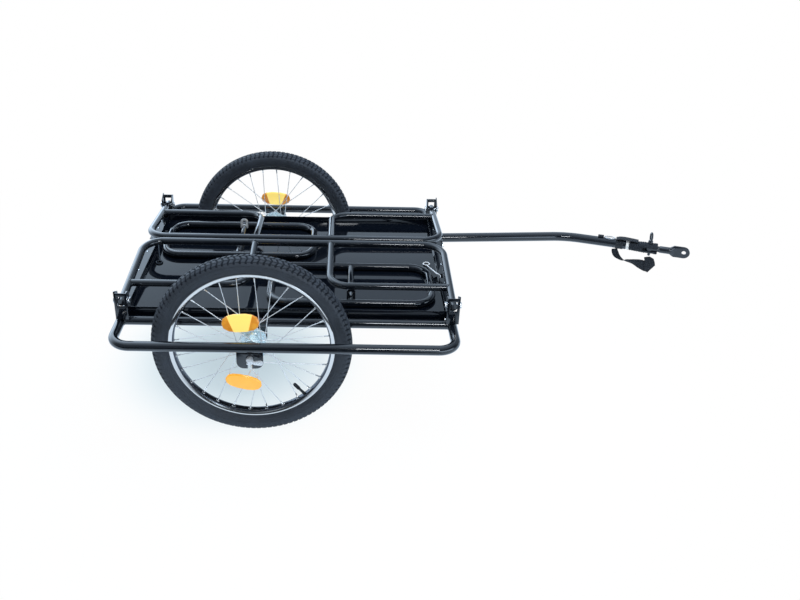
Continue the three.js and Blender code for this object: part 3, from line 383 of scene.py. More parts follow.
def paint_material(name, tone, low, high, depth, coat, scale=420.0, dust=0.03):
    graph = new_material(name, Coat_Weight=coat, Coat_Roughness=0.03, IOR=1.5)
    dusted = graph.effect("Dust", {
        "Color": rgba(tone), "Dust": (0.16, 0.17, 0.19, 1), "Amount": dust, "Scale": 70.0})
    peel = graph.effect("Orange peel", {"Scale": scale, "Depth": depth, "Gloss low": low, "Gloss high": high})
    cover(graph, dusted, peel)


def metal_material(name, tone, tint, low, high, scale, metallic):
    graph = new_material(name, Metallic=metallic)
    drawn = graph.effect("Drawn metal", {
        "Color": rgba(tone), "Tint": rgba(tint), "Scale": scale, "Gloss low": low, "Gloss high": high})
    cover(graph, drawn, drawn)


def grain_material(name, tone, worn, scale, depth, specular=0.5):
    graph = new_material(name, Specular_IOR_Level=specular)
    grain = graph.effect("Moulded grain", {
        "Color": rgba(tone), "Worn": rgba(worn), "Scale": scale, "Depth": depth})
    cover(graph, grain, grain)


def amber_material(name, tone, painted_glow_tint, reach, glow):
    """Reflector plastic, from its own UV map in metres: moulded prisms, and a painted glow that stands in for light
    thrown back, tinted apart in a window in the middle.
    """
    slant, fade = -0.32, 0.0017
    graph = new_material(name, Coat_Weight=1.0, Coat_Roughness=0.05, Roughness=0.28)
    place = graph.place("UV")
    cells = graph.cells(place, 430.0, 0.1)["Distance"]
    spot = graph.parts(place)
    along = graph.maths("ABSOLUTE", spot["X"])
    lean = graph.maths("ADD", graph.maths("MULTIPLY", spot["Y"], slant), along)
    inside = graph.ramp(lean, reach, reach + fade, 1.0, 0.0)
    deep = rgba(times(tone, 0.72, 0.5, 0.3))
    ends = graph.blend(graph.cells(place, 95.0)["Color"], rgba(tone), deep)
    base = graph.blend(inside, ends, rgba(tone))
    grained = graph.blend(graph.ramp(cells, 0.0, 0.8, 0.0, 0.5), base, deep)
    graph.fill(graph.shader, {
        # The window's tint and the emission over the whole lens are a painted glow, standing in for light thrown back
        "Base Color": grained, "Emission Color": graph.blend(inside, grained, rgba(painted_glow_tint)),
        "Emission Strength": graph.ramp(inside, 0.0, 1.0, *glow),
        "Normal": graph.bump(graph.maths("MULTIPLY", cells, 0.0006), 0.4)})


def webbing_material(name, tone, roughness):
    """Woven strap: the weave follows the strap's own UV map, in metres along and across, and its raised threads are
    painted lighter, a painted sheen.
    """
    graph = new_material(name, Roughness=roughness, Sheen_Weight=0.08)
    place = graph.place("UV")
    waves = [graph.add("ShaderNodeTexWave", {"Vector": place, "Scale": scale}, bands_direction=way).outputs["Fac"]
             for way, scale in (("X", 160.0), ("Y", 260.0))]
    weave_and_sheen = graph.maths("MULTIPLY", *waves)
    graph.fill(graph.shader, {
        # The weave's raised threads are painted lighter, a painted sheen; the bump is the weave itself
        "Base Color": graph.blend(weave_and_sheen, rgba(tone), rgba(times(tone, 2.4))),
        "Normal": graph.bump(graph.maths("MULTIPLY", weave_and_sheen, 0.0004))})


def material_of(name):
    return bpy.data.materials[name]


# Meshes

def link(name, data):
    obj = bpy.data.objects.new(name, data)
    bpy.context.scene.collection.objects.link(obj)
    return obj


def smooth(mesh, angle=35):
    """Shades smooth, with edges kept sharp above an angle."""
    bm = bmesh.new()
    bm.from_mesh(mesh)
    for face in bm.faces:
        face.smooth = True
    limit = math.radians(angle)
    for edge in bm.edges:
        edge.smooth = len(edge.link_faces) == 2 and edge.calc_face_angle(0.0) < limit
    bm.to_mesh(mesh)
    bm.free()


def settle(bm, mesh):
    """Writes a mesh with its double vertices merged and its faces turned out."""
    bmesh.ops.remove_doubles(bm, verts=bm.verts, dist=1e-6)
    bmesh.ops.recalc_face_normals(bm, faces=bm.faces)
    bm.to_mesh(mesh)
    bm.free()
    return mesh


def finished(bm, name, material, angle=None):
    """An object from a mesh in work, with its material, and smooth below an angle."""
    obj = link(name, settle(bm, bpy.data.meshes.new(name)))
    obj.data.materials.append(material_of(material))
    if angle:
        smooth(obj.data, angle)
    return obj


def plain(obj):
    """The object with its modifiers turned into a plain mesh at the origin."""
    graph = bpy.context.evaluated_depsgraph_get()
    mesh = bpy.data.meshes.new_from_object(obj.evaluated_get(graph))
    name = obj.name
    mesh.transform(obj.matrix_world)
    bpy.data.objects.remove(obj)
    return link(name, mesh)


def join(name, objects):
    """One object from several, each material kept."""
    bm = bmesh.new()
    slots = []
    for obj in objects:
        offset = {}
        for index, material in enumerate(obj.data.materials):
            if material not in slots:
                slots.append(material)
            offset[index] = slots.index(material)
        for face in obj.data.polygons:
            face.material_index = offset.get(face.material_index, 0)
        bm.from_mesh(obj.data)
        bpy.data.objects.remove(obj)
    mesh = bpy.data.meshes.new(name)
    bm.to_mesh(mesh)
    bm.free()
    for material in slots:
        mesh.materials.append(material)
    return link(name, mesh)


def keep(obj, body, node):
    """Hangs a finished piece on the body it rides on, and hides the solid that it stands for."""
    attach(obj, body)
    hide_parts(node)


def around(steps):
    """Angles round a full turn."""
    return [2 * math.pi * k / steps for k in range(steps)]


def ellipse(centre, first, second, steps):
    """Points round an ellipse, from its two half axes."""
    return [centre + first * math.cos(a) + second * math.sin(a) for a in around(steps)]


def bend_line(points, bend, steps=None):
    """Rounds the corners of a line with arcs of one radius."""
    steps = steps or bpy.context.scene.trailer_tubes.bend_steps
    line = [Vector(points[0])]
    for before, corner, after in zip(points, points[1:], points[2:]):
        corner = Vector(corner)
        back = (Vector(before) - corner).normalized()
        ahead = (Vector(after) - corner).normalized()
        half = back.angle(ahead) / 2
        centre = corner + (back + ahead).normalized() * bend / math.sin(half)
        start = corner + back * bend / math.tan(half) - centre
        axis = ahead.cross(back).normalized()
        sweep = math.pi - 2 * half
        for k in range(steps + 1):
            line.append(centre + Matrix.Rotation(sweep * k / steps, 3, axis) @ start)
    line.append(Vector(points[-1]))
    return line


def spaced(points, steps):
    """A smooth line through points, by a Catmull-Rom spline."""
    line = []
    full = [points[0], *points, points[-1]]
    for i in range(1, len(full) - 2):
        p0, p1, p2, p3 = (Vector(p) for p in full[i - 1:i + 3])
        for k in range(steps):
            t = k / steps
            line.append(0.5 * ((2 * p1) + (p2 - p0) * t + (2 * p0 - 5 * p1 + 4 * p2 - p3) * t * t
                               + (3 * p1 - p0 - 3 * p2 + p3) * t ** 3))
    line.append(Vector(points[-1]))
    return line


def run_tree(obj, tree_name, values):
    """Runs a node tree on an object and keeps the result as a plain mesh."""
    tree = bpy.data.node_groups[tree_name]
    modifier = obj.modifiers.new(tree_name, "NODES")
    modifier.node_group = tree
    for item in tree.interface.items_tree:
        if item.in_out == "INPUT" and item.name in values:
            modifier[item.identifier] = values[item.name]
    return plain(obj)


def draw_lines(curve, lines, closed):
    for points in lines:
        spline = curve.splines.new("POLY")
        spline.points.add(len(points) - 1)
        for held, point in zip(spline.points, points):
            held.co = (*point, 1.0)
        spline.use_cyclic_u = closed


def tubes(name, lines, radius, material=PAINT, sides=None, closed=False):
    """Round tubes along lines of points, as one object."""
    curve = bpy.data.curves.new(name, "CURVE")
    curve.dimensions = "3D"
    draw_lines(curve, lines, closed)
    obj = run_tree(link(name, curve), "Bent tube", {
        "Radius": radius, "Sides": sides or bpy.context.scene.trailer_tubes.sides, "Material": material_of(material)})
    smooth(obj.data, 40)
    return obj


def beads(name, lines, share=1.0):
    """Weld beads along closed lines."""
    return tubes(name, lines, bpy.context.scene.trailer_tubes.weld_size * share, PAINT, 10, True)


def weld(end, along, across, radius, wall):
    """The closed line where a tube meets the side of another: end is on the other's axis."""
    third = along.cross(across)
    points = []
    for angle in around(28):
        reach = radius * math.sin(angle)
        depth = math.sqrt(max(wall * wall - reach * reach, 0))
        points.append(Vector(end) - along * depth + across * radius * math.cos(angle) + third * reach)
    return points


def skin(bm, rings):
    """Faces between rings of vertices; a ring of one vertex closes the form in a point."""
    for first, second in zip(rings, rings[1:]):
        steps = max(len(first), len(second))
        for k in range(steps if steps > 1 else 0):
            j = (k + 1) % steps
            quad = (first[k % len(first)], first[j % len(first)], second[j % len(second)], second[k % len(second)])
            bm.faces.new(tuple(dict.fromkeys(quad)))


def turned(name, profile, start, axis, segments, material=ZINC):
    """A solid of revolution from radii and places along an axis, ring-shaped where it starts off the axis."""
    bm = bmesh.new()
    axis = Vector(axis).normalized()
    side = axis.orthogonal().normalized()
    third = axis.cross(side)
    rings = []
    for radius, along in profile:
        base = Vector(start) + axis * along * MM
        ring = ellipse(base, side * radius * MM, third * radius * MM, segments) if radius else [base]
        rings.append([bm.verts.new(point) for point in ring])
    skin(bm, [*rings, rings[0]] if profile[0][0] else rings)
    return finished(bm, name, material, 32)


def two_sided(half):
    """A section from its half on one side of the middle plane."""
    return [*half, *[(radius, -along) for radius, along in reversed(half)]]


def refined(name, node_name, material, bevel, segments=2):
    """A copy of a solid's mesh with its flat faces merged and its edges rounded."""
    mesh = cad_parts[node_name].data.copy()
    mesh.materials.clear()
    obj = link(name, mesh)
    bm = bmesh.new()
    bm.from_mesh(mesh)
    bmesh.ops.remove_doubles(bm, verts=bm.verts, dist=2e-6)
    bmesh.ops.dissolve_limit(
        bm, angle_limit=math.radians(2), use_dissolve_boundaries=False, verts=bm.verts, edges=bm.edges)
    bm.to_mesh(mesh)
    bm.free()
    mesh.materials.append(material_of(material))
    rounding = obj.modifiers.new("Edges", "BEVEL")
    rounding.width = bevel
    rounding.segments = segments
    rounding.limit_method = "ANGLE"
    rounding.angle_limit = math.radians(35)
    rounding.use_clamp_overlap = True
    obj = plain(obj)
    smooth(obj.data)
    return obj


def plate(name, outline, holes, thickness, matrix, material=ZINC, bevel=0.0004):
    """A flat plate with holes, drawn in X and Y about its middle plane, then placed by a matrix."""
    curve = bpy.data.curves.new(name, "CURVE")
    curve.dimensions = "2D"
    curve.fill_mode = "BOTH"
    curve.extrude = thickness / 2 - bevel
    curve.bevel_depth = bevel
    curve.bevel_resolution = 2
    draw_lines(curve, [[(x * MM, y * MM, 0) for x, y in points] for points in (outline, *holes)], True)
    obj = link(name, curve)
    obj.matrix_world = matrix
    bpy.context.view_layer.update()
    obj = plain(obj)
    obj.data.materials.clear()
    obj.data.materials.append(material_of(material))
    bm = bmesh.new()
    bm.from_mesh(obj.data)
    smooth(settle(bm, obj.data), 30)
    return obj


def arc(cx, cy, radius, start, stop, steps=8):
    """Points of an arc in degrees."""
    angles = (math.radians(start + (stop - start) * k / steps) for k in range(steps + 1))
    return [(cx + radius * math.cos(angle), cy + radius * math.sin(angle)) for angle in angles]


def hole(cx, cy, radius, steps=32):
    return arc(cx, cy, radius, 0, 360 - 360 / steps, steps - 1)


def hexagon(across_corners):
    return hole(0, 0, across_corners / 2, 6)


def axes_matrix(x_axis, y_axis, place):
    """A matrix whose X and Y columns are the given directions."""
    x_axis, y_axis = Vector(x_axis).normalized(), Vector(y_axis).normalized()
    matrix = Matrix((x_axis, y_axis, x_axis.cross(y_axis))).transposed().to_4x4()
    return Matrix.Translation(Vector(place)) @ matrix


def block(name, matrix, sides, material):
    """A box from its sides and a matrix for its middle."""
    bm = bmesh.new()
    bmesh.ops.create_cube(bm, size=1.0)
    bmesh.ops.transform(bm, matrix=matrix @ Matrix.Diagonal((*sides, 1.0)), verts=bm.verts)
    return finished(bm, name, material)


def slab(name, low, high):
    """A piece of the tray's sheet between two corners."""
    low, high = Vector(low), Vector(high)
    return block(name, Matrix.Translation((low + high) / 2), high - low, SHEET)


def lay_map(mesh, origin, along, across):
    """A UV map in metres, along two directions from a point."""
    layer = mesh.uv_layers.get("UVMap") or mesh.uv_layers.new(name="UVMap")
    for loop in mesh.loops:
        point = mesh.vertices[loop.vertex_index].co - origin
        layer.data[loop.index].uv = (point.dot(along), point.dot(across))


STRAP_WIDTH = 0.0215


def ribbon(name, points, thickness, material=WEBBING):
    """A strap with rounded selvedges and a UV map in metres; a point has a place, a way across and a width."""
    bm = bmesh.new()
    layer = bm.loops.layers.uv.new("UVMap")
    half = [(-0.5, 0.25), (-0.47, 0.5), (0.47, 0.5), (0.5, 0.25)]
    section = [*half, *[(-u, -v) for u, v in half]]
    rings, spots = [], {}
    run = 0.0
    for i, (place, way, width) in enumerate(points):
        before, after = points[max(i - 1, 0)], points[min(i + 1, len(points) - 1)]
        along = (after[0] - before[0]).normalized()
        across = (way - along * way.dot(along)).normalized()
        normal = across.cross(along).normalized()
        if i:
            run += (place - before[0]).length
        rings.append([bm.verts.new(place + across * u * width + normal * v * thickness) for u, v in section])
        spots.update((vert, (run, u * STRAP_WIDTH)) for vert, (u, _) in zip(rings[-1], section))
    skin(bm, rings)
    for face in bm.faces:
        for loop in face.loops:
            loop[layer].uv = spots[loop.vert]
    for ring in (rings[0], rings[-1]):
        bm.faces.new(ring)
    return finished(bm, name, material, 50)


# Studio and camera

class TRAILER_OT_studio(Operator):
    """Pale floor, soft lights and the camera at the photograph's angle"""
    bl_idname = "trailer.studio"
    bl_label = "Studio"

    def execute(self, context):
        settings = context.scene.trailer_studio
        self.add_floor(settings)
        self.add_lights(context, settings)
        self.add_camera(context)
        context.scene.view_settings.view_transform = "Standard"
        return {"FINISHED"}

    def empty_graph(self, owner, output):
        """The cleared node tree of a material or a world, its output and its kinds of ray."""
        owner.use_nodes = True
        graph = Graph(owner.node_tree)
        graph.tree.nodes.clear()
        return graph, graph.add(output), graph.add("ShaderNodeLightPath").outputs

    def add_floor(self, settings):
        """White for the camera away from the trailer, with the trailer's shadow kept under it and a painted blue shade
        tinting the floor there.
        """
        reach, drop = 40, 0.0005
        bm = bmesh.new()
        bm.faces.new([bm.verts.new((x * reach, y * reach, -drop)) for x, y in ((-1, -1), (1, -1), (1, 1), (-1, 1))])
        material = bpy.data.materials.new("Studio floor")
        floor = finished(bm, "studio_floor", "Studio floor")
        graph, out, ray = self.empty_graph(material, "ShaderNodeOutputMaterial")
        place = graph.place()
        pool = graph.add("ShaderNodeMapping", {
            "Vector": place, "Location": (AXLE_X - 0.09, -0.03, 0), "Scale": (0.36, 0.38, 1)}, vector_type="TEXTURE")
        away = graph.add("ShaderNodeVectorMath", {0: pool.outputs[0]}, operation="LENGTH").outputs["Value"]
        lift = graph.ease(away, 0.2, 1.05, settings.shadow_share, 0.98)
        share = graph.maths("ADD", lift, graph.ease(away, 1.5, 4.5, 0.0, 0.02))
        diffuse = graph.add("ShaderNodeBsdfDiffuse", {"Color": rgba(settings.backdrop)}).outputs[0]
        # A painted blue shade: the floor's white glow turns blue towards the middle of the pool under the trailer
        painted_shade_tint = graph.blend(graph.ease(away, 0.3, 1.2), (0.76, 0.92, 1.0, 1), (1, 1, 1, 1))
        white = graph.add("ShaderNodeEmission", {"Color": painted_shade_tint, "Strength": 1.0}).outputs[0]
        seen = graph.choose(graph.maths("MULTIPLY", ray["Is Camera Ray"], share), diffuse, white)
        spot = graph.parts(place)
        lit = graph.maths("MAXIMUM", graph.ease(spot["Y"], -1.15, -0.72, 0.03, 1.0), graph.ease(spot["X"], 0.1, 0.4))
        mirrored = graph.add("ShaderNodeEmission", {"Color": rgba(settings.reflection), "Strength": lit}).outputs[0]
        graph.fill(out, {"Surface": graph.choose(ray["Is Glossy Ray"], seen, mirrored)})

    def add_lights(self, context, settings):
        """Soft light from all round; glossy pieces see a pale wall behind and a dim room, open at the front right."""
        world = bpy.data.worlds.new("Studio world")
        context.scene.world = world
        graph, out, ray = self.empty_graph(world, "ShaderNodeOutputWorld")
        way = graph.parts(graph.place("Generated"))
        wall = graph.maths(
            "MULTIPLY",
            graph.ease(way["Y"], -0.35, 0.8, settings.front_room, settings.back_wall),
            graph.ease(way["X"], -0.02, -0.28, 1.0, 3.2),
            graph.ease(way["X"], 0.16, 0.4, 1.0, 0.4))
        over = graph.ease(way["Z"], 0.55, 0.95, 0.0, settings.ceiling)
        opening = graph.maths(
            "MULTIPLY",
            graph.ease(way["X"], 0.11, 0.21, 0.0, settings.open_side),
            graph.ease(way["Y"], 0.0, -0.4),
            graph.ease(way["Z"], 0.42, 0.28))
        soft, shiny, white = (
            graph.add("ShaderNodeBackground", {"Color": tone, "Strength": strength}).outputs[0]
            for tone, strength in (((0.9, 0.95, 1.0, 1), 0.6),
                                   (rgba(settings.reflection), graph.maths("ADD", wall, over, opening)),
                                   ((1, 1, 1, 1), 1.0)))
        lit = graph.choose(ray["Is Glossy Ray"], soft, shiny)
        graph.fill(out, {"Surface": graph.choose(ray["Is Camera Ray"], lit, white)})
        power = settings.key_power
        self.add_area("overhead_light", (0.2, 0.3, 2.6), (0, 0, 0.2), (2.6, 1.6), power, False)
        self.add_area("back_light", (-0.4, 3.0, 1.6), (0, 0, 0.3), (3.0, 0.9), power * 0.32, False)
        self.add_area("front_strip", (AXLE_X + 0.68, -2.5, 1.95), (0.1, 0, 0.3), (0.6, 0.2), power * 0.14, True)

    def add_area(self, name, place, target, sides, power, mirrored):
        light = bpy.data.lights.new(name, "AREA")
        light.shape = "RECTANGLE"
        light.size, light.size_y = sides
        light.energy = power
        light.color = (0.9, 0.95, 1.0)
        obj = link(name, light)
        obj.location = place
        obj.rotation_euler = (Vector(target) - Vector(place)).to_track_quat("-Z", "Y").to_euler()
        obj.visible_glossy = mirrored

    def add_camera(self, context):
        """The camera fitted to the photograph, whose sizes here are in its pixels."""
        wide, high, sensor = 800, 600, 36
        focal, centre_x, centre_y = 832.9, 350.0, 256.9
        pitch, roll, yaw = (math.radians(v) for v in (27.03, 1.31, 0.81))
        place = Vector((AXLE_X + 0.216, -2.128, 1.409))
        forward = Vector((math.sin(yaw) * math.cos(pitch), math.cos(yaw) * math.cos(pitch), -math.sin(pitch)))
        right = Vector((math.cos(yaw), -math.sin(yaw), 0))
        up = right.cross(forward)
        right, up = right * math.cos(roll) + up * math.sin(roll), up * math.cos(roll) - right * math.sin(roll)
        camera = bpy.data.cameras.new("camera")
        camera.sensor_width = sensor
        camera.lens = focal / wide * sensor
        camera.shift_x = (wide / 2 - centre_x) / wide
        camera.shift_y = (centre_y - high / 2) / wide
        camera.clip_end = 200
        obj = link("camera", camera)
        obj.matrix_world = Matrix((right, up, -forward)).transposed().to_4x4()
        obj.matrix_world.translation = place
        context.scene.camera = obj


class TRAILER_OT_materials(Operator):
    """Builds the shared effects and the finish of every piece"""
    bl_idname = "trailer.materials"
    bl_label = "Materials"

    def execute(self, context):
        scene = context.scene
        for build in (build_orange_peel, build_dust, build_drawn_metal, build_grain, build_tube_tree, build_ring_tree):
            build()
        paint_material(PAINT, scene.trailer_tubes.paint, 0.06, 0.13, 0.00005, 1.0)
        paint_material(SHEET, scene.trailer_tray.sheet, 0.03, 0.07, 0.00002, 0.1, 140.0, 0.015)
        for name, finish in METALS.items():
            metal_material(name, *finish)
        rubber = scene.trailer_wheels.rubber
        grain_material(RUBBER, rubber, times(rubber, 2.3), 700.0, 0.00012, 0.75)
        # Darker rubber for the casing between the tread blocks, a painted shade in the grooves
        grain_material("Tyre groove, painted shade", times(rubber, 0.5), times(rubber, 0.8), 700.0, 0.0001, 0.2)
        grain_material(PLASTIC, (0.006, 0.009, 0.014), (0.014, 0.019, 0.027), 1100.0, 0.00005)
        grain_material("White nylon", (0.8, 0.8, 0.78), (0.68, 0.68, 0.66), 800.0, 0.00003)
        amber = scene.trailer_wheels.amber
        # Both lenses carry a painted glow; the upper ones glow brighter and paler in a window in the middle
        amber_material("Amber lens", amber, amber, 0.2, (0.44, 0.44))
        amber_material("Amber lens, painted glow", amber, (1.0, 0.95, 0.3), 0.0245, (0.2, 0.62))
        webbing = scene.trailer_hitch.webbing
        webbing_material(WEBBING, webbing, 0.8)
        # The band's webbing is the strap's webbing made darker and glossier
        webbing_material("Darker webbing", times(webbing, 0.5), 0.25)
        return {"FINISHED"}


# Frame and tray

class TRAILER_OT_frame(Operator):
    """Bed frame of round tube with its welds, and the two wheel guards"""
    bl_idname = "trailer.frame"
    bl_label = "Bed frame and guards"

    def execute(self, context):
        end_reach = corners("frame_end_tube_front")[1].y
        for name, x in (("front", FRONT_X), ("rear", REAR_X)):
            tube = tubes(f"end_tube_{name}", [[(x, -end_reach, TUBE_Z), (x, end_reach, TUBE_Z)]], FRAME_TUBE)
            keep(tube, "chassis", f"frame_end_tube_{name}")
        for name, side in SIDES.items():
            ends = [(x, side * BED_Y, TUBE_Z) for x in (REAR_X, FRONT_X)]
            self.add_tube(f"side_tube_{name}", f"frame_side_tube_{name}", ends, X, Y, FRAME_TUBE, 1.0)
        for name in ENDS:
            at = middle(f"floor_cross_tube_{name}")
            ends = [(at.x, side * BED_Y, at.z) for side in (-1, 1)]
            self.add_tube(f"cross_tube_{name}", f"floor_cross_tube_{name}", ends, Y, X, CROSS_TUBE, 0.8)
        for name, side in SIDES.items():
            self.add_guard(name, side, end_reach)
        return {"FINISHED"}

    def add_tube(self, name, node, ends, along, across, radius, share):
        """A tube between two others, with a weld bead round both its ends."""
        tube = tubes(name, [ends], radius)
        lines = [weld(end, way, across, radius, FRAME_TUBE) for end, way in zip(ends, (-along, along))]
        keep(join(name, [tube, beads(f"{name}_beads", lines, share)]), "chassis", node)

    def add_guard(self, name, side, end_reach):
        """A guard plugs into the end tubes, past a thin gap."""
        gap, bend, plug, plug_half = 0.0003, 0.046, 0.0102, 0.004
        start = end_reach + gap
        line = bend_line([(x, side * y, TUBE_Z) for x, y in (
            (REAR_X, start), (REAR_X, GUARD_Y), (FRONT_X, GUARD_Y), (FRONT_X, start))], bend)
        tube = tubes(f"guard_{name}", [line], FRAME_TUBE)
        plugs = tubes(f"guard_plugs_{name}", [
            [(x, side * (start - plug_half), TUBE_Z), (x, side * (start + plug_half), TUBE_Z)]
            for x in (FRONT_X, REAR_X)], plug)
        keep(join(f"wheel_guard_tube_{name}", [tube, plugs]), "chassis", f"wheel_guard_{name}")


class TRAILER_OT_tray(Operator):
    """Cargo tray of folded sheet, with side lips and screwed end flanges"""
    bl_idname = "trailer.tray"
    bl_label = "Cargo tray"
    sheet = 0.0008

    def execute(self, context):
        low, high = corners("cargo_tray")
        inset, drop, lap = 0.004, 0.0052, 0.0004
        parts = [refined("tray_sheet", "cargo_tray", SHEET, context.scene.trailer_tray.edge)]
        for side, y in ((1, high.y), (-1, low.y)):
            near, far = sorted((y, y - side * self.sheet))
            parts.append(slab("lip", (low.x + inset, near, low.z - drop), (high.x - inset, far, low.z + lap)))
        for end, sign in ENDS.items():
            parts += self.flange(sign, high.x if sign > 0 else low.x, high.z, corners(f"gate_hook_{end}"))
        keep(join("tray_sheet", parts), "chassis", "cargo_tray")
        return {"FINISHED"}

    def flange(self, sign, x, top, hook_box):
        """The wall's top edge folds out over the end tube, with a gap for the wire hook."""
        reach, half_width, gap, screws = 0.0245, 0.262, 0.012, 3
        screw = [(0, -0.4), (3.2, -0.4), (3, 0.7), (1.8, 1.3), (0, 1.4)]
        hook_y = hook_box[0].y + 0.002 if sign > 0 else hook_box[1].y - 0.002
        inner, outer = sorted((x, x + sign * reach))
        made = []
        for start, stop in ((-half_width, hook_y - gap), (hook_y + gap, half_width)):
            made.append(slab("flange", (inner, start, top - self.sheet), (outer, stop, top)))
            for k in range(screws):
                at = (x + sign * 0.013, start + (stop - start) * (k + 0.5) / screws, top)
                made.append(turned("screw", screw, at, Z, 20))
        return made


# Wheels

def wheel_point(radius, angle, y, side):
    """A point of a wheel: radius and angle from straight up, and y outwards from its middle plane."""
    return Vector((AXLE_X + radius * math.sin(angle), side * (WHEEL_Y + y), AXLE_Z + radius * math.cos(angle)))


def wheel_centre(side):
    return wheel_point(0, 0, 0, side)


def repeated(obj, copies, side, material, angle):
    """Copies of a piece round a wheel."""
    made = run_tree(obj, "Ring of copies", {
        "Count": copies, "Centre": wheel_centre(side), "Material": material_of(material)})
    smooth(made.data, angle)
    return made


def paint_faces(obj, side, material, low, high):
    """Gives a wheel's faces between two radii a second material, here a painted shade in the tyre's grooves and the
    rim's well.
    """
    obj.data.materials.append(material_of(material))
    for face in obj.data.polygons:
        away = face.center - wheel_centre(side)
        if low < math.hypot(away.x, away.z) < high:
            face.material_index = 1


class TRAILER_OT_tyres(Operator):
    """Tyres with tread blocks and sidewall ribs"""
    bl_idname = "trailer.tyres"
    bl_label = "Tyres"
    # Half of the casing's section: how far its points lie inside the tyre's radius and off its middle plane
    casing = [(50.2, 9.6), (48.8, 10.4), (45.5, 10.8), (43.8, 12.2), (41.5, 15.8), (36, 19.8), (30.5, 22.6),
              (25.5, 24.1), (21.5, 24.3), (16.5, 23.6), (11, 21.3), (6.9, 17.8), (4.2, 13.3), (2.6, 7.5), (2.1, 0.4)]
    # The tread's outside, from its middle to the shoulder, in the same way
    crown = [(0.2, 0), (0.6, 7.5), (2.4, 14), (5.6, 18.5), (10.2, 22.2), (16.5, 24.6), (21.5, 25)]
    # Corners of the blocks on one half, as shares of the crown and of the pitch
    blocks = [[(0.03, -0.50), (0.27, -0.20), (0.27, 0.44), (0.03, 0.14)],
              [(0.32, -0.22), (0.53, -0.48), (0.53, 0.16), (0.32, 0.42)],
              [(0.58, -0.46), (0.80, -0.40), (0.80, 0.22), (0.58, 0.16)],
              [(0.84, -0.40), (0.97, -0.40), (0.97, 0.16), (0.84, 0.16)]]
    # Places of the thin side ribs, in the same way
    ribs = [(40.5, 16.7), (37.2, 19.2), (31.5, 22.1), (26.5, 23.9)]

    def execute(self, context):
        settings = context.scene.trailer_wheels
        for name, side in SIDES.items():
            profile = two_sided([(TYRE_RADIUS / MM - drop, y) for drop, y in self.casing])
            body = turned(f"tyre_{name}_casing", profile, wheel_centre(side), Y * side, settings.segments, RUBBER)
            # The casing between the blocks takes the darker rubber, a painted shade in the grooves
            paint_faces(body, side, "Tyre groove, painted shade", TYRE_RADIUS - 0.0125, TYRE_RADIUS)
            lines = [[wheel_point(TYRE_RADIUS - drop * MM, angle, y * MM * flip, side) for angle in around(120)]
                     for drop, y in self.ribs for flip in (1, -1)]
            rings = tubes(f"tyre_{name}_ribs", lines, 0.0006, RUBBER, 6, True)
            tread = self.add_tread(f"tyre_{name}_tread", side, settings)
            keep(join(f"tyre_{name}_rubber", [body, tread, rings]), f"wheel_{name}", f"tyre_{name}")
        return {"FINISHED"}

    def add_tread(self, name, side, settings):
        """One pitch of blocks, repeated round the wheel; the two halves are shifted apart by half a pitch."""
        bm = bmesh.new()
        for flip in (1, -1):
            for outline in self.blocks:
                self.add_block(bm, outline, flip, side, settings)
        tread = link(name, settle(bm, bpy.data.meshes.new(name)))
        return repeated(tread, settings.tread_pitch, side, RUBBER, 30)

    def on_crown(self, share):
        """A point on the tread's outside, from -1 on one shoulder to 1 on the other."""
        spot = abs(share) * (len(self.crown) - 1)
        index = min(int(spot), len(self.crown) - 2)
        drop, y = Vector(self.crown[index]).lerp(Vector(self.crown[index + 1]), spot - index) * MM
        return math.copysign(y, share), TYRE_RADIUS - drop

    def add_block(self, bm, outline, flip, side, settings):
        """A block that follows the tyre's round shoulder, cut in three across, with slanting walls."""
        cuts = 3
        shift, taper, root = 0.25 * flip, 20, 1.6
        pitch, depth = 2 * math.pi / settings.tread_pitch, settings.tread_depth
        near, far, far_end, near_end = (Vector(point) for point in outline)
        rings = []
        for k in range(cuts + 1):
            top, base = [], []
            for share, turn in (near.lerp(far, k / cuts), near_end.lerp(far_end, k / cuts)):
                y, radius = self.on_crown(share * flip)
                angle = (turn + shift) * pitch
                top.append(bm.verts.new(wheel_point(radius, angle, y, side)))
                base.append(bm.verts.new(wheel_point(radius - depth * root, angle, y * (1 - depth * taper), side)))
            rings.append([*top, *reversed(base)])
        skin(bm, rings)
        for ring in (rings[0], rings[-1]):
            bm.faces.new(ring)


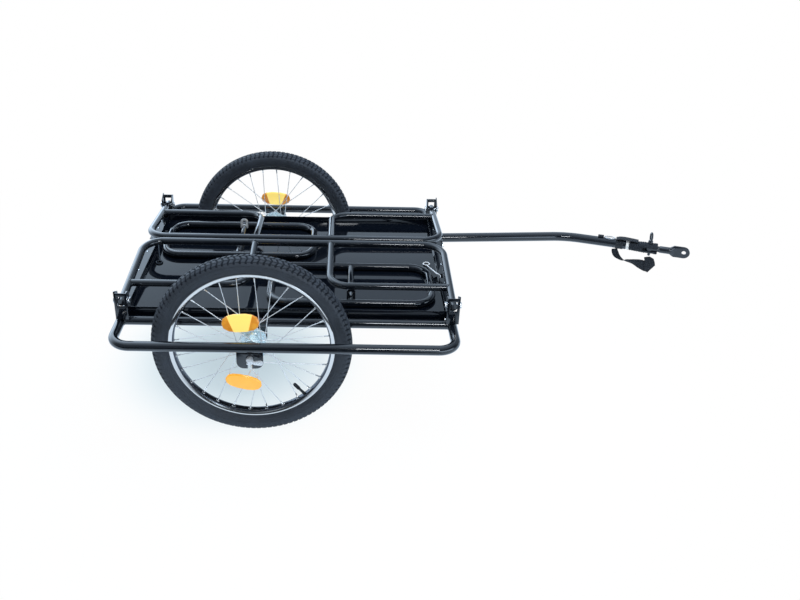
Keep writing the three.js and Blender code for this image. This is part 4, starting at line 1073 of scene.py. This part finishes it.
class TRAILER_OT_rims(Operator):
    """Chromed rims with eyelets, hubs, laced spokes and valves"""
    bl_idname = "trailer.rims"
    bl_label = "Rims, hubs and spokes"
    group = 4  # spokes that the ring tree repeats
    stagger = 0.0015  # how far spokes and eyelets stand off the rim's middle plane
    eyelet = [(3.4, 0), (4.6, 0), (4.6, 0.6), (4.1, 1.1), (3.4, 0.9)]
    nipple = [(0, -12.5), (1.3, -12.5), (1.9, -11.8), (1.9, -4), (2.4, -3.4), (2.4, -0.2), (0, -0.2)]
    shell = [(5.3, 46.5), (16.6, 46.5), (17.8, 45.8), (18.6, 44.5), (18.6, 39.5), (17.2, 38.5), (17.2, 35.5),
             (20.5, 33.2), (27.2, 32.2), (32.2, 31.9), (33, 31.2), (33, 29), (32.2, 28.3), (26, 28), (21.5, 26.8),
             (16.8, 23.5), (15.2, 20.5), (14.8, 10), (14.8, 0.4)]

    def execute(self, context):
        settings = context.scene.trailer_wheels
        for name, side in SIDES.items():
            self.add_rim(name, side, settings)
            self.add_hub(name, side, settings)
            self.add_valve(name, side)
        return {"FINISHED"}

    def add_rim(self, name, side, settings):
        outer = size(f"rim_{name}").z / 2 / MM
        inner = 196
        half = [(inner + 3.2, 0.1), (inner + 3.6, 4), (outer - 6.5, 9.8), (outer - 2, 11.2), (outer - 0.6, 11.2),
                (outer, 11.8), (outer, 12.6), (outer - 0.7, 13), (outer - 2.2, 12.9), (outer - 3.2, 12.6),
                (outer - 9.4, 10.5), (outer - 11.2, 9.7), (inner + 0.6, 7.2), (inner, 6), (inner, 0.1)]
        rim = turned(f"rim_{name}_hoop", two_sided(half), wheel_centre(side), Y * side, settings.segments, CHROME)
        # The well inside the lip takes a dark metal, a painted shade
        paint_faces(rim, side, "Rim well, painted shade", 0, (outer - 10.2) * MM)
        first = wheel_point((inner + 0.4) * MM, math.pi / 2 / settings.spokes, self.stagger, side)
        inward = (wheel_point(0, 0, self.stagger, side) - first).normalized()
        eye = turned("eyelet", self.eyelet, first, inward, 14, CHROME)
        eyes = repeated(eye, settings.spokes, side, CHROME, 35)
        keep(join(f"rim_{name}_chrome", [rim, eyes]), f"wheel_{name}", f"rim_{name}")

    def add_hub(self, name, side, settings):
        copies = settings.spokes // self.group
        hub = turned(f"hub_{name}_shell", two_sided(self.shell), wheel_centre(side), Y * side, 72, "Pale blue zinc")
        lines = [self.spoke_line(index, side, settings.spokes) for index in range(self.group)]
        spokes = tubes("spokes", lines, settings.spoke_width / 2, "Spoke steel", 10)
        nipples = [turned("nipple", self.nipple, line[-1], line[-1] - line[-2], 12, CHROME) for line in lines]
        pieces = [hub, repeated(spokes, copies, side, "Spoke steel", 50),
                  repeated(join("nipples", nipples), copies, side, CHROME, 40)]
        keep(join(f"hub_{name}_laced", pieces), f"wheel_{name}", f"hub_and_spokes_{name}")

    def spoke_line(self, index, side, spokes):
        """A spoke from its bent head in the flange to the rim, as the solid's spokes run."""
        crossed, hole_radius, rim_radius, flange_y, elbow = 6, 0.029, 0.1953, 0.030, 0.0022
        facet = 2 * math.pi / spokes
        flange = side if index % 2 else -side
        lean = 1 if index % 4 < 2 else -1
        rim_angle = (index + 0.25) * facet
        hole_angle = rim_angle + lean * crossed * facet
        rim = wheel_point(rim_radius, rim_angle, self.stagger * flange, side)
        bend = wheel_point(hole_radius, hole_angle, (flange_y + lean * 0.0026) * flange, side)
        head = wheel_point(hole_radius, hole_angle, (flange_y - lean * 0.0024) * flange, side)
        outward = (rim - bend).normalized() * elbow
        return [head, bend + (head - bend) * 0.35, bend + outward * 0.35, bend + outward, rim]

    def add_valve(self, name, side):
        """A stem through the rim, with a ridged cap."""
        centre = wheel_centre(side)
        inward = (centre - middle(f"valve_{name}")).normalized()
        ridges = [point for k in range(6)
                  for point in ((4.7, 22.2 + 2 * k), (4.3, 22.8 + 2 * k), (4.7, 23.4 + 2 * k))]
        profile = [(0, 0), (4.6, 0), (4.6, 1.2), (3.8, 3), (3.4, 12), (3.2, 18), (3.4, 19.5), (4.4, 20.2),
                   (4.7, 21.2), *ridges, (4.6, 36.2), (3.4, 39.5), (0, 39.8)]
        stem = turned(f"valve_{name}_stem", profile, centre - inward * 0.1954, inward, 28, PLASTIC)
        keep(stem, f"wheel_{name}", f"valve_{name}")


class TRAILER_OT_reflectors(Operator):
    """Amber spoke reflectors with a painted glow; on the upper ones, which face the lamps, it is brightest through the
    middle, a painted reflection of their light
    """
    bl_idname = "trailer.reflectors"
    bl_label = "Reflectors"

    def execute(self, context):
        for name in SIDES:
            # The upper lens takes the brighter painted glow
            for number, material in ((1, "Amber lens, painted glow"), (2, "Amber lens")):
                key = f"reflector_{name}_{number}"
                lens = refined(f"{key}_lens", key, material, 0.0007, 3)
                self.add_map(lens.data, middle(key))
                keep(lens, f"wheel_{name}", key)
        return {"FINISHED"}

    def add_map(self, mesh, centre):
        """Lays the map along the lens, and across it, upwards."""
        along = max((vertex.co - centre for vertex in mesh.vertices), key=lambda way: way.length).normalized()
        flat = max(mesh.polygons, key=lambda face: face.area).normal
        along = along if along.x > 0 else -along
        across = flat.cross(along).normalized()
        lay_map(mesh, centre, along, across if across.z > 0 else -across)


# Axles and quick releases

class TRAILER_OT_axles(Operator):
    """Axle plates, axles with locknuts and the quick releases"""
    bl_idname = "trailer.axles"
    bl_label = "Axles and plates"

    def execute(self, context):
        for name, side in SIDES.items():
            for where in ("inner", "outer"):
                key = f"axle_plate_{name}_{where}"
                keep(refined(f"hanger_{name}_{where}", key, PAINT, 0.0007), "chassis", key)
            self.add_axle(name, side)
            skewer, lever = f"quick_release_skewer_{name}", f"quick_release_lever_{name}"
            keep(refined(f"skewer_{name}", skewer, BARE, 0.0005), "chassis", skewer)
            keep(refined(f"lever_{name}_arm", lever, BARE, 0.0012, 3), f"lever_{name}", lever)
            self.add_nut(name, side)
        return {"FINISHED"}

    def add_axle(self, name, side):
        key = f"wheel_axle_{name}"
        half = size(key).y / 2 / MM
        face = half - 4.3
        centre = Vector((AXLE_X, middle(key).y, AXLE_Z))
        part = [(2.8, half), (4.4, half), (5, half - 0.6), (5, face), (8.5, face), (8.5, face - 1.4), (5, face - 1.4),
                (5, face - 5.2), (7.2, face - 5.2), (6.6, 47.2), (5, 47.2)]
        pieces = [turned(f"axle_{name}_rod", two_sided(part), centre, Y * side, 40)]
        flat = Y.orthogonal()
        for flip in (1, -1):
            at = centre + Y * side * flip * (face - 3.3) * MM
            pieces.append(plate("locknut", hexagon(16.8), [hole(0, 0, 5)], 0.0036,
                                axes_matrix(flat, Y.cross(flat), at)))
        keep(join(f"axle_{name}", pieces), "chassis", key)

    def add_nut(self, name, side):
        """A ridged nut on the skewer's inner end."""
        key = f"quick_release_nut_{name}"
        start = Vector((AXLE_X, middle(key).y + side * size(key).y / 2, AXLE_Z))
        ridges = [point for k in range(5) for point in ((7.8, 3.4 + 0.8 * k), (8.4, 3.8 + 0.8 * k))]
        profile = [(2.8, 0), (8.5, 0), (8.5, 2.8), *ridges, (6.2, 9.5), (5.8, 10.8), (2.8, 10.8)]
        keep(turned(f"release_nut_{name}", profile, start, -Y * side, 36), "chassis", key)


# Side panels, brackets and gates

class TRAILER_OT_panels(Operator):
    """Side panels of bent tube, folded over the bed"""
    bl_idname = "trailer.panels"
    bl_label = "Side panels"

    def execute(self, context):
        foot, rail, top, half_gap = -0.012, 0.0775, 0.288, 0.107
        centre = (FRONT_X + REAR_X) / 2
        for name, side in SIDES.items():
            low, high = corners(f"side_panel_{name}")
            rear, front = low.x + PANEL_TUBE, high.x - PANEL_TUBE
            up = Vector((0, -side * math.cos(PANEL_TILT), math.sin(PANEL_TILT)))

            def at(x, height):
                return Vector((x, side * HINGE_Y, HINGE_Z)) + up * height

            loop = bend_line([at(rear, foot), at(rear, top), at(front, top), at(front, foot)], 0.055)
            inner, joints = [], []
            for leg, post, way in ((rear, centre - half_gap, -X), (front, centre + half_gap, X)):
                inner.append(bend_line([at(leg, rail), at(post, rail), at(post, top)], 0.05))
                joints.append(weld(at(leg, rail), way, up, PANEL_RAIL, PANEL_TUBE))
                joints.append(weld(at(post, top), up, X, PANEL_RAIL, PANEL_TUBE))
            pieces = [tubes(f"panel_{name}_loop", [loop], PANEL_TUBE),
                      tubes(f"panel_{name}_rails", inner, PANEL_RAIL),
                      beads(f"panel_{name}_beads", joints, 0.8)]
            keep(join(f"panel_{name}_tubes", pieces), f"panel_{name}", f"side_panel_{name}")
        return {"FINISHED"}


class TRAILER_OT_hinges(Operator):
    """Corner brackets and their hinge bolts"""
    bl_idname = "trailer.hinges"
    bl_label = "Brackets and hinge bolts"

    def execute(self, context):
        for name in SIDES:
            for end in ENDS:
                key = f"panel_bracket_{end}_{name}"
                keep(refined(f"bracket_{end}_{name}", key, PAINT, 0.0008, 3), "chassis", key)
                self.add_bolt(end, name)
        return {"FINISHED"}

    def add_bolt(self, end, name):
        """A shank with a washer and a hexagon at both ends."""
        key = f"panel_bolt_{end}_{name}"
        at = middle(key)
        reach = size(key).x / 2
        half, head = reach / MM, 0.0055
        shank = [(0, 0.8 - half), (3.4, 0.8 - half), (4, 2 - half), (4, half - 1), (0, half - 1)]
        washer = [(0, -0.4), (7.4, -0.4), (7.4, 0.6), (0, 0.6)]
        parts = [turned("shank", shank, at, X, 24)]
        for sign in (1, -1):
            centre = at + X * sign * (reach - head / 2)
            parts.append(plate("hex", hexagon(14.8), [], head - 0.0012, axes_matrix(Y, Z, centre), ZINC, 0.0006))
            parts.append(turned("washer", washer, centre - X * sign * (head / 2 - 0.0003), X * sign, 32))
        keep(join(f"hinge_bolt_{end}_{name}", parts), "chassis", key)


class TRAILER_OT_gates(Operator):
    """End gates stored in the tray, with keyhole clips and wire hooks"""
    bl_idname = "trailer.gates"
    bl_label = "Stored end gates"

    def execute(self, context):
        half_x, half_y, bend = 0.2165, 0.103, 0.052
        for name, sign in ENDS.items():
            key = f"end_gate_{name}"
            at = middle(key)
            at.z = corners(key)[0].z + PANEL_TUBE
            loop = bend_line([at + X * half_x * u + Y * half_y * v for u, v in (
                (0, 1), (1, 1), (1, -1), (-1, -1), (-1, 1), (0, 1))], bend)
            ends = [at + Y * half_y * s for s in (1, -1)]
            joints = [weld(end, way, X, GATE_BAR, PANEL_TUBE) for end, way in zip(ends, (Y, -Y))]
            pieces = [tubes(f"gate_{name}_loop", [loop[:-1]], PANEL_TUBE, closed=True),
                      tubes(f"gate_{name}_bar", [ends[::-1]], GATE_BAR),
                      beads(f"gate_{name}_beads", joints, 0.8),
                      self.clip(name, at - Y * sign * (half_y - 0.02), sign)]
            keep(join(f"gate_{name}_tubes", pieces), "chassis", key)
            self.add_hook(name, sign)
        return {"FINISHED"}

    def clip(self, name, at, sign):
        """A small upright plate with a keyhole, welded on the cross bar: black in front, and bare steel at the rear as
        a painted highlight where the black clip catches the light.
        """
        outline = [(-11, 0), (11, 0), (11, 24.5), (5.5, 30), (-5.5, 30), (-11, 24.5)]
        if sign > 0:
            key = [*arc(0, 18.5, 4.8, -50, 230, 20), (-2.2, 11), (2.2, 11)]
        else:
            key = [*arc(0, 18.5, 6.2, -30, 210, 20), (-5, 10.5), (5, 10.5)]
        # The rear clip's bare steel is a painted highlight on a black clip
        finish = PAINT if sign > 0 else BARE
        return plate(f"gate_{name}_clip", outline, [key], 0.003, axes_matrix(X, Z, at), finish)

    def add_hook(self, name, sign):
        """A wire over the tray's end wall, down to a ring on its floor."""
        key = f"gate_hook_{name}"
        radius, ring_radius, bend, tip = 0.002, 0.009, 0.004, 0.0075
        low, high = corners(key)
        out, root = (high, low) if sign > 0 else (low, high)
        crest = Vector((out.x - sign * radius, root.y + sign * radius, high.z - radius))
        shoulder = crest + Vector((-0.0078, 0.006, 0)) * sign
        edge = Vector((crest.x - sign * 0.0283, crest.y + sign * 0.095, low.z + radius))
        wire = bend_line([crest - Z * tip, crest, shoulder, edge], bend, 6)
        centre = Vector((edge.x, out.y - sign * (radius + ring_radius), edge.z))
        ring = ellipse(centre, -Y * ring_radius * sign, X * ring_radius, 32)
        # The rear hook takes a dark metal, a painted shade; the front one is bare steel
        finish = BARE if sign > 0 else "Hook steel, painted shade"
        parts = [tubes(f"hook_{name}_wire", [wire], radius, finish, 14),
                 tubes(f"hook_{name}_ring", [ring], radius, finish, 14, True)]
        keep(join(f"hook_{name}", parts), "chassis", key)


# Drawbar, coupler, hitch and strap

# The drawbar's own frame: it pitches about the front tube, and turns at its bend
FORE = Vector((math.cos(HITCH_PITCH), 0, math.sin(HITCH_PITCH)))
UP = FORE.cross(Y)
AHEAD = FORE * math.cos(HITCH_ANGLE) - Y * math.sin(HITCH_ANGLE)
ASIDE = FORE * math.sin(HITCH_ANGLE) + Y * math.cos(HITCH_ANGLE)
BAR_Y = 0.216
BAR_END = 0.181
PIN_PLACE = 0.2501


def from_root(fore, y, up=0.0):
    """A point by its distance from the front tube, along the pitched drawbar's own frame."""
    return Vector((FRONT_X, 0, TUBE_Z)) + FORE * fore + Y * y + UP * up


BEND = from_root(0.413, BAR_Y)


def on_bar(along, aside=0.0, up=0.0):
    """A point by its distance along the drawbar after the bend."""
    return BEND + AHEAD * along + ASIDE * aside + UP * up


class TRAILER_OT_drawbar(Operator):
    """Drawbar with its bolted plates"""
    bl_idname = "trailer.drawbar"
    bl_label = "Drawbar"

    def execute(self, context):
        key = "drawbar_mount_plate"
        keep(refined("mount_plate", key, PAINT, 0.0006), "chassis", key)
        face, thickness, bead_radius = 0.0176, 0.0045, 0.0142
        inset, half_height, round_off = 5, 14, 5
        low, high = (corners(key)[0].y / MM + inset, corners(key)[1].y / MM - inset)
        outline = [point for k, (y, z) in enumerate(((high, 1), (low, 1), (low, -1), (high, -1)))
                   for point in arc(y, z * half_height, round_off, 90 * k, 90 * (k + 1))]
        holes = [hole(middle(f"drawbar_bolt_{k}").y / MM, 0, 3.5) for k in (1, 2)]
        end = plate("bar_plate", outline, holes, thickness,
                    axes_matrix(Y, UP, from_root(face + thickness / 2, 0)), PAINT, 0.0005)
        line = bend_line([from_root(face + 0.002, BAR_Y), BEND, on_bar(BAR_END)], 0.24)
        bar = tubes("bar_tube", [line], BAR_TUBE, PAINT, 48)
        ring = ellipse(from_root(face + thickness, BAR_Y), Y * bead_radius, UP * bead_radius, 36)
        stub = turned("bar_stub", [(0, 0), (8, 0), (8, 26.4), (7.4, 27), (0, 27)], on_bar(BAR_END), AHEAD, 32, PAINT)
        pieces = [bar, end, beads("bar_bead", [ring]), stub]
        keep(join("drawbar_tube", pieces), "chassis", "drawbar")
        for number in (1, 2):
            self.add_bolt(number)
        return {"FINISHED"}

    def add_bolt(self, number):
        key = f"drawbar_bolt_{number}"
        y = middle(key).y
        head, start, front = 0.004, 0.0131, 0.0224
        shank = [(0, 0), (2.8, 0), (3.2, 0.6), (3.2, 9.3), (0, 9.3)]
        place = axes_matrix(Y, UP, from_root(front + head / 2, y))
        parts = [plate("hex", hexagon(10.9), [], head, place, ZINC, 0.0005),
                 turned("shank", shank, from_root(start, y), FORE, 20)]
        keep(join(f"bar_bolt_{number}", parts), "chassis", key)


class TRAILER_OT_coupler(Operator):
    """Swivel ring, ribbed coupler, hitch pin and tongue"""
    bl_idname = "trailer.coupler"
    bl_label = "Coupler and hitch"

    def execute(self, context):
        ring = [(8.3, 0), (12.8, 0), (13.6, 0.8), (13.6, 7.7), (12.8, 8.5), (8.3, 8.5)]
        collar = turned("swivel_ring_nylon", ring, on_bar(BAR_END + 0.0003), AHEAD, 40, "White nylon")
        keep(collar, "chassis", "swivel_ring")
        self.add_body(context.scene.trailer_hitch.ribs)
        self.add_pin()
        self.add_tongue()
        return {"FINISHED"}

    def add_body(self, ribs):
        """A ribbed moulding, cut for the tongue and bored for the pin."""
        start, length, ribbed, root, swell, rise = 0.1901, 82, 50, 14, 2.4, 0.9
        pitch = (ribbed - 4) / ribs
        profile = [(0, 18.2), (8.3, 18.2), (8.3, 0), (13.4, 0), (root, 0.8)]
        for k in range(ribs):
            base, at = root + swell * k / ribs, 2 + k * pitch
            profile += [(base + rise * up, at + pitch * share) for up, share in ((0, 0), (1, 0.2), (1, 0.6), (0, 0.8))]
        profile += [(16.2, ribbed), (16.2, length - 10.5), (16.8, length - 9.8), (16.8, length - 1.2), (15.8, length),
                    (0, length)]
        body = turned("coupler_blank", profile, on_bar(start), AHEAD, 64, PLASTIC)
        cutters = [
            block("slot", axes_matrix(AHEAD, ASIDE, on_bar(start + 0.061)), (0.0422, 0.05, 0.0106), PLASTIC),
            turned("bore", [(0, -30), (4.3, -30), (4.3, 30), (0, 30)], on_bar(PIN_PLACE), UP, 32, PLASTIC)]
        for cutter in cutters:
            carve = body.modifiers.new("Cut", "BOOLEAN")
            carve.operation = "DIFFERENCE"
            carve.object = cutter
            carve.solver = "EXACT"
        body = plain(body)
        for cutter in cutters:
            bpy.data.objects.remove(cutter)
        smooth(body.data, 30)
        body.name = "coupler_moulding"
        keep(body, "coupler", "coupler_body")

    def add_pin(self):
        at, seat = on_bar(PIN_PLACE), 17.1
        profile = [(0, -24.6), (3, -24.6), (4, -23.4), (4, seat), (6.2, seat), (7, seat + 1), (7, seat + 6),
                   (5.8, seat + 8), (0, seat + 8)]
        wire, half_y, half_z = 0.0027, 0.0076, 0.0125
        ring = ellipse(at + UP * (seat + 20) * MM, Y * half_y, UP * half_z, 40)
        parts = [turned("pin_rod", profile, at, UP, 32, PAINT), tubes("pin_ring", [ring], wire, PAINT, 14, True)]
        keep(join("hitch_pin_ringed", parts), "pin", "hitch_pin")

    def add_tongue(self):
        at = on_bar(PIN_PLACE)
        eye = [*arc(0, 0, 13, 53.1, 306.9, 28), (29, -10.4), (29, 10.4)]
        outline = [(60, -11.2), (68.5, -16.8), *arc(96.2, 0, 16.8, -90, 90, 24), (68.5, 16.8), (60, 11.2)]
        parts = [plate("tongue_eye", eye, [hole(0, 0, 4.3)], 0.0097, axes_matrix(AHEAD, ASIDE, at), PAINT, 0.0006),
                 self.neck(at),
                 plate("tongue_plate", outline, [hole(97, 0, 7)], 0.006, axes_matrix(AHEAD, UP, at), PAINT, 0.0009)]
        keep(join("hitch_tongue_forged", parts), "tongue", "hitch_tongue")

    def neck(self, at):
        """The neck is round behind and is pressed flat towards the plate."""
        bm = bmesh.new()
        # Distance from the pin, half width and half height
        stations = [(28, 9.8, 9.8), (29, 10.4, 10.4), (56, 10.4, 10.4), (60, 9.6, 10.8), (64, 7.2, 12.8),
                    (68, 4.7, 15.2), (71, 3.1, 16.1), (72.5, 2.6, 16.1)]
        rings = []
        for station in stations:
            along, wide, tall = Vector(station) * MM
            power = 1.0 if station[0] < 60 else 0.8
            ring = []
            for a in around(36):
                c, s = math.cos(a), math.sin(a)
                point = at + AHEAD * along + ASIDE * wide * math.copysign(abs(c) ** power, c)
                ring.append(bm.verts.new(point + UP * tall * math.copysign(abs(s) ** power, s)))
            rings.append(ring)
        skin(bm, rings)
        for ring in (rings[0], rings[-1]):
            bm.faces.new(ring)
        return finished(bm, "tongue_neck", PAINT, 40)


class TRAILER_OT_strap(Operator):
    """Safety strap on the drawbar: band, hanging tail, ring and hook"""
    bl_idname = "trailer.strap"
    bl_label = "Safety strap"
    thickness = 0.0018

    def execute(self, context):
        self.add_band()
        self.add_tail()
        at, height, half_long, half_wide, wire = 0.132, 0.0163, 0.0153, 0.0084, 0.0013
        loop = ellipse(on_bar(at, 0, height), AHEAD * half_long, ASIDE * half_wide, 48)
        keep(tubes("strap_ring_steel", [loop], wire, ZINC, 14, True), "chassis", "strap_ring")
        keep(refined("strap_hook_moulded", "strap_hook", PLASTIC, 0.0012, 3), "chassis", "strap_hook")
        return {"FINISHED"}

    def add_band(self):
        """A thin band, darker and glossier than the strap, round the bar, and a strip along the bar's top."""
        inside, thin, at = 0.0144, 0.0011, 0.162
        radius = inside + thin / 2
        turn = ellipse(on_bar(at), UP * radius, ASIDE * radius, 48)
        band = ribbon("strap_loop", [(point, AHEAD, STRAP_WIDTH) for point in (*turn, turn[0])], thin, "Darker webbing")
        top = spaced([(0.151, 0.016), (0.161, 0.0192), (0.176, 0.0202), (0.196, 0.0188), (0.2155, 0.0170)], 6)
        strip = ribbon("strap_strip", [(on_bar(p.x, 0, p.y), ASIDE, STRAP_WIDTH) for p in top], self.thickness)
        keep(join("strap_band_woven", [band, strip]), "chassis", "strap_band")

    def add_tail(self):
        """The tail hangs in a slack twist, turns its face outwards and ends in a slanting fold."""
        # Place along, beside and above the bar, the way across the strap, and its width as seen
        stations = [
            ((150, 0, -18.6), (1, 0.2, 0.1), 17), ((152, 0, -28), (1, 0.3, 0.1), 19),
            ((160, 0, -40), (0.8, 0.7, -0.1), 21), ((177.6, -1, -51.5), (0.15, 1, -0.3), 21),
            ((193.9, -2, -51.8), (0.12, 0.5, -0.9), 14), ((210.7, -3, -52.2), (0.13, 0.2, -1), 20),
            ((228, -4, -55.2), (0.15, 0, -1), 29.5), ((250, -5, -61.2), (0.28, 0, -1), 35.5)]
        places, ways, widths = zip(*stations)
        points = [(on_bar(*(place * MM)), AHEAD * way.x + ASIDE * way.y + UP * way.z, width.x * MM)
                  for place, way, width in zip(
                      spaced(places, 7), spaced(ways, 7), spaced([(width, 0) for width in widths], 7))]
        outline = [(239, -30.4), (246, -27.6), (254.8, -25.4), (266, -31), (270.5, -41), (273.1, -51.7),
                   (254.9, -78.4), (243.5, -74.7), (243, -46)]
        folded = plate("strap_fold", outline[::-1], [], self.thickness,
                       axes_matrix(AHEAD, UP, on_bar(0, -0.0072)), WEBBING)
        lay_map(folded.data, Vector(), (AHEAD - UP).normalized(), (AHEAD + UP).normalized())
        hanging = ribbon("strap_tail", points, self.thickness)
        keep(join("strap_tail_woven", [hanging, folded]), "chassis", "strap_tail")


class TRAILER_PT_pieces(Panel):
    """Lists the trailer's pieces and their settings"""
    bl_idname = "TRAILER_PT_pieces"
    bl_label = "Cargo trailer"
    bl_space_type = "VIEW_3D"
    bl_region_type = "UI"
    bl_category = "Trailer"

    def draw(self, context):
        for operator in OPERATORS:
            self.layout.operator(operator.bl_idname)
        for key, kind in SETTINGS.items():
            box = self.layout.box()
            for field in kind.__annotations__:
                box.prop(getattr(context.scene, key), field)


SETTINGS = {
    "trailer_tubes": TubeSettings,
    "trailer_wheels": WheelSettings,
    "trailer_tray": TraySettings,
    "trailer_hitch": HitchSettings,
    "trailer_studio": StudioSettings,
}

OPERATORS = (
    TRAILER_OT_materials,
    TRAILER_OT_studio,
    TRAILER_OT_frame,
    TRAILER_OT_tray,
    TRAILER_OT_tyres,
    TRAILER_OT_rims,
    TRAILER_OT_reflectors,
    TRAILER_OT_axles,
    TRAILER_OT_panels,
    TRAILER_OT_hinges,
    TRAILER_OT_gates,
    TRAILER_OT_drawbar,
    TRAILER_OT_coupler,
    TRAILER_OT_strap,
)


def register():
    for kind in (*SETTINGS.values(), *OPERATORS, TRAILER_PT_pieces):
        bpy.utils.register_class(kind)
    for key, kind in SETTINGS.items():
        setattr(bpy.types.Scene, key, PointerProperty(type=kind))


def unregister():
    for key in SETTINGS:
        delattr(bpy.types.Scene, key)
    for kind in reversed((*SETTINGS.values(), *OPERATORS, TRAILER_PT_pieces)):
        bpy.utils.unregister_class(kind)


def main():
    register()
    for operator in OPERATORS:
        group, name = operator.bl_idname.split(".")
        getattr(getattr(bpy.ops, group), name)()


if __name__ == "__main__":
    main()
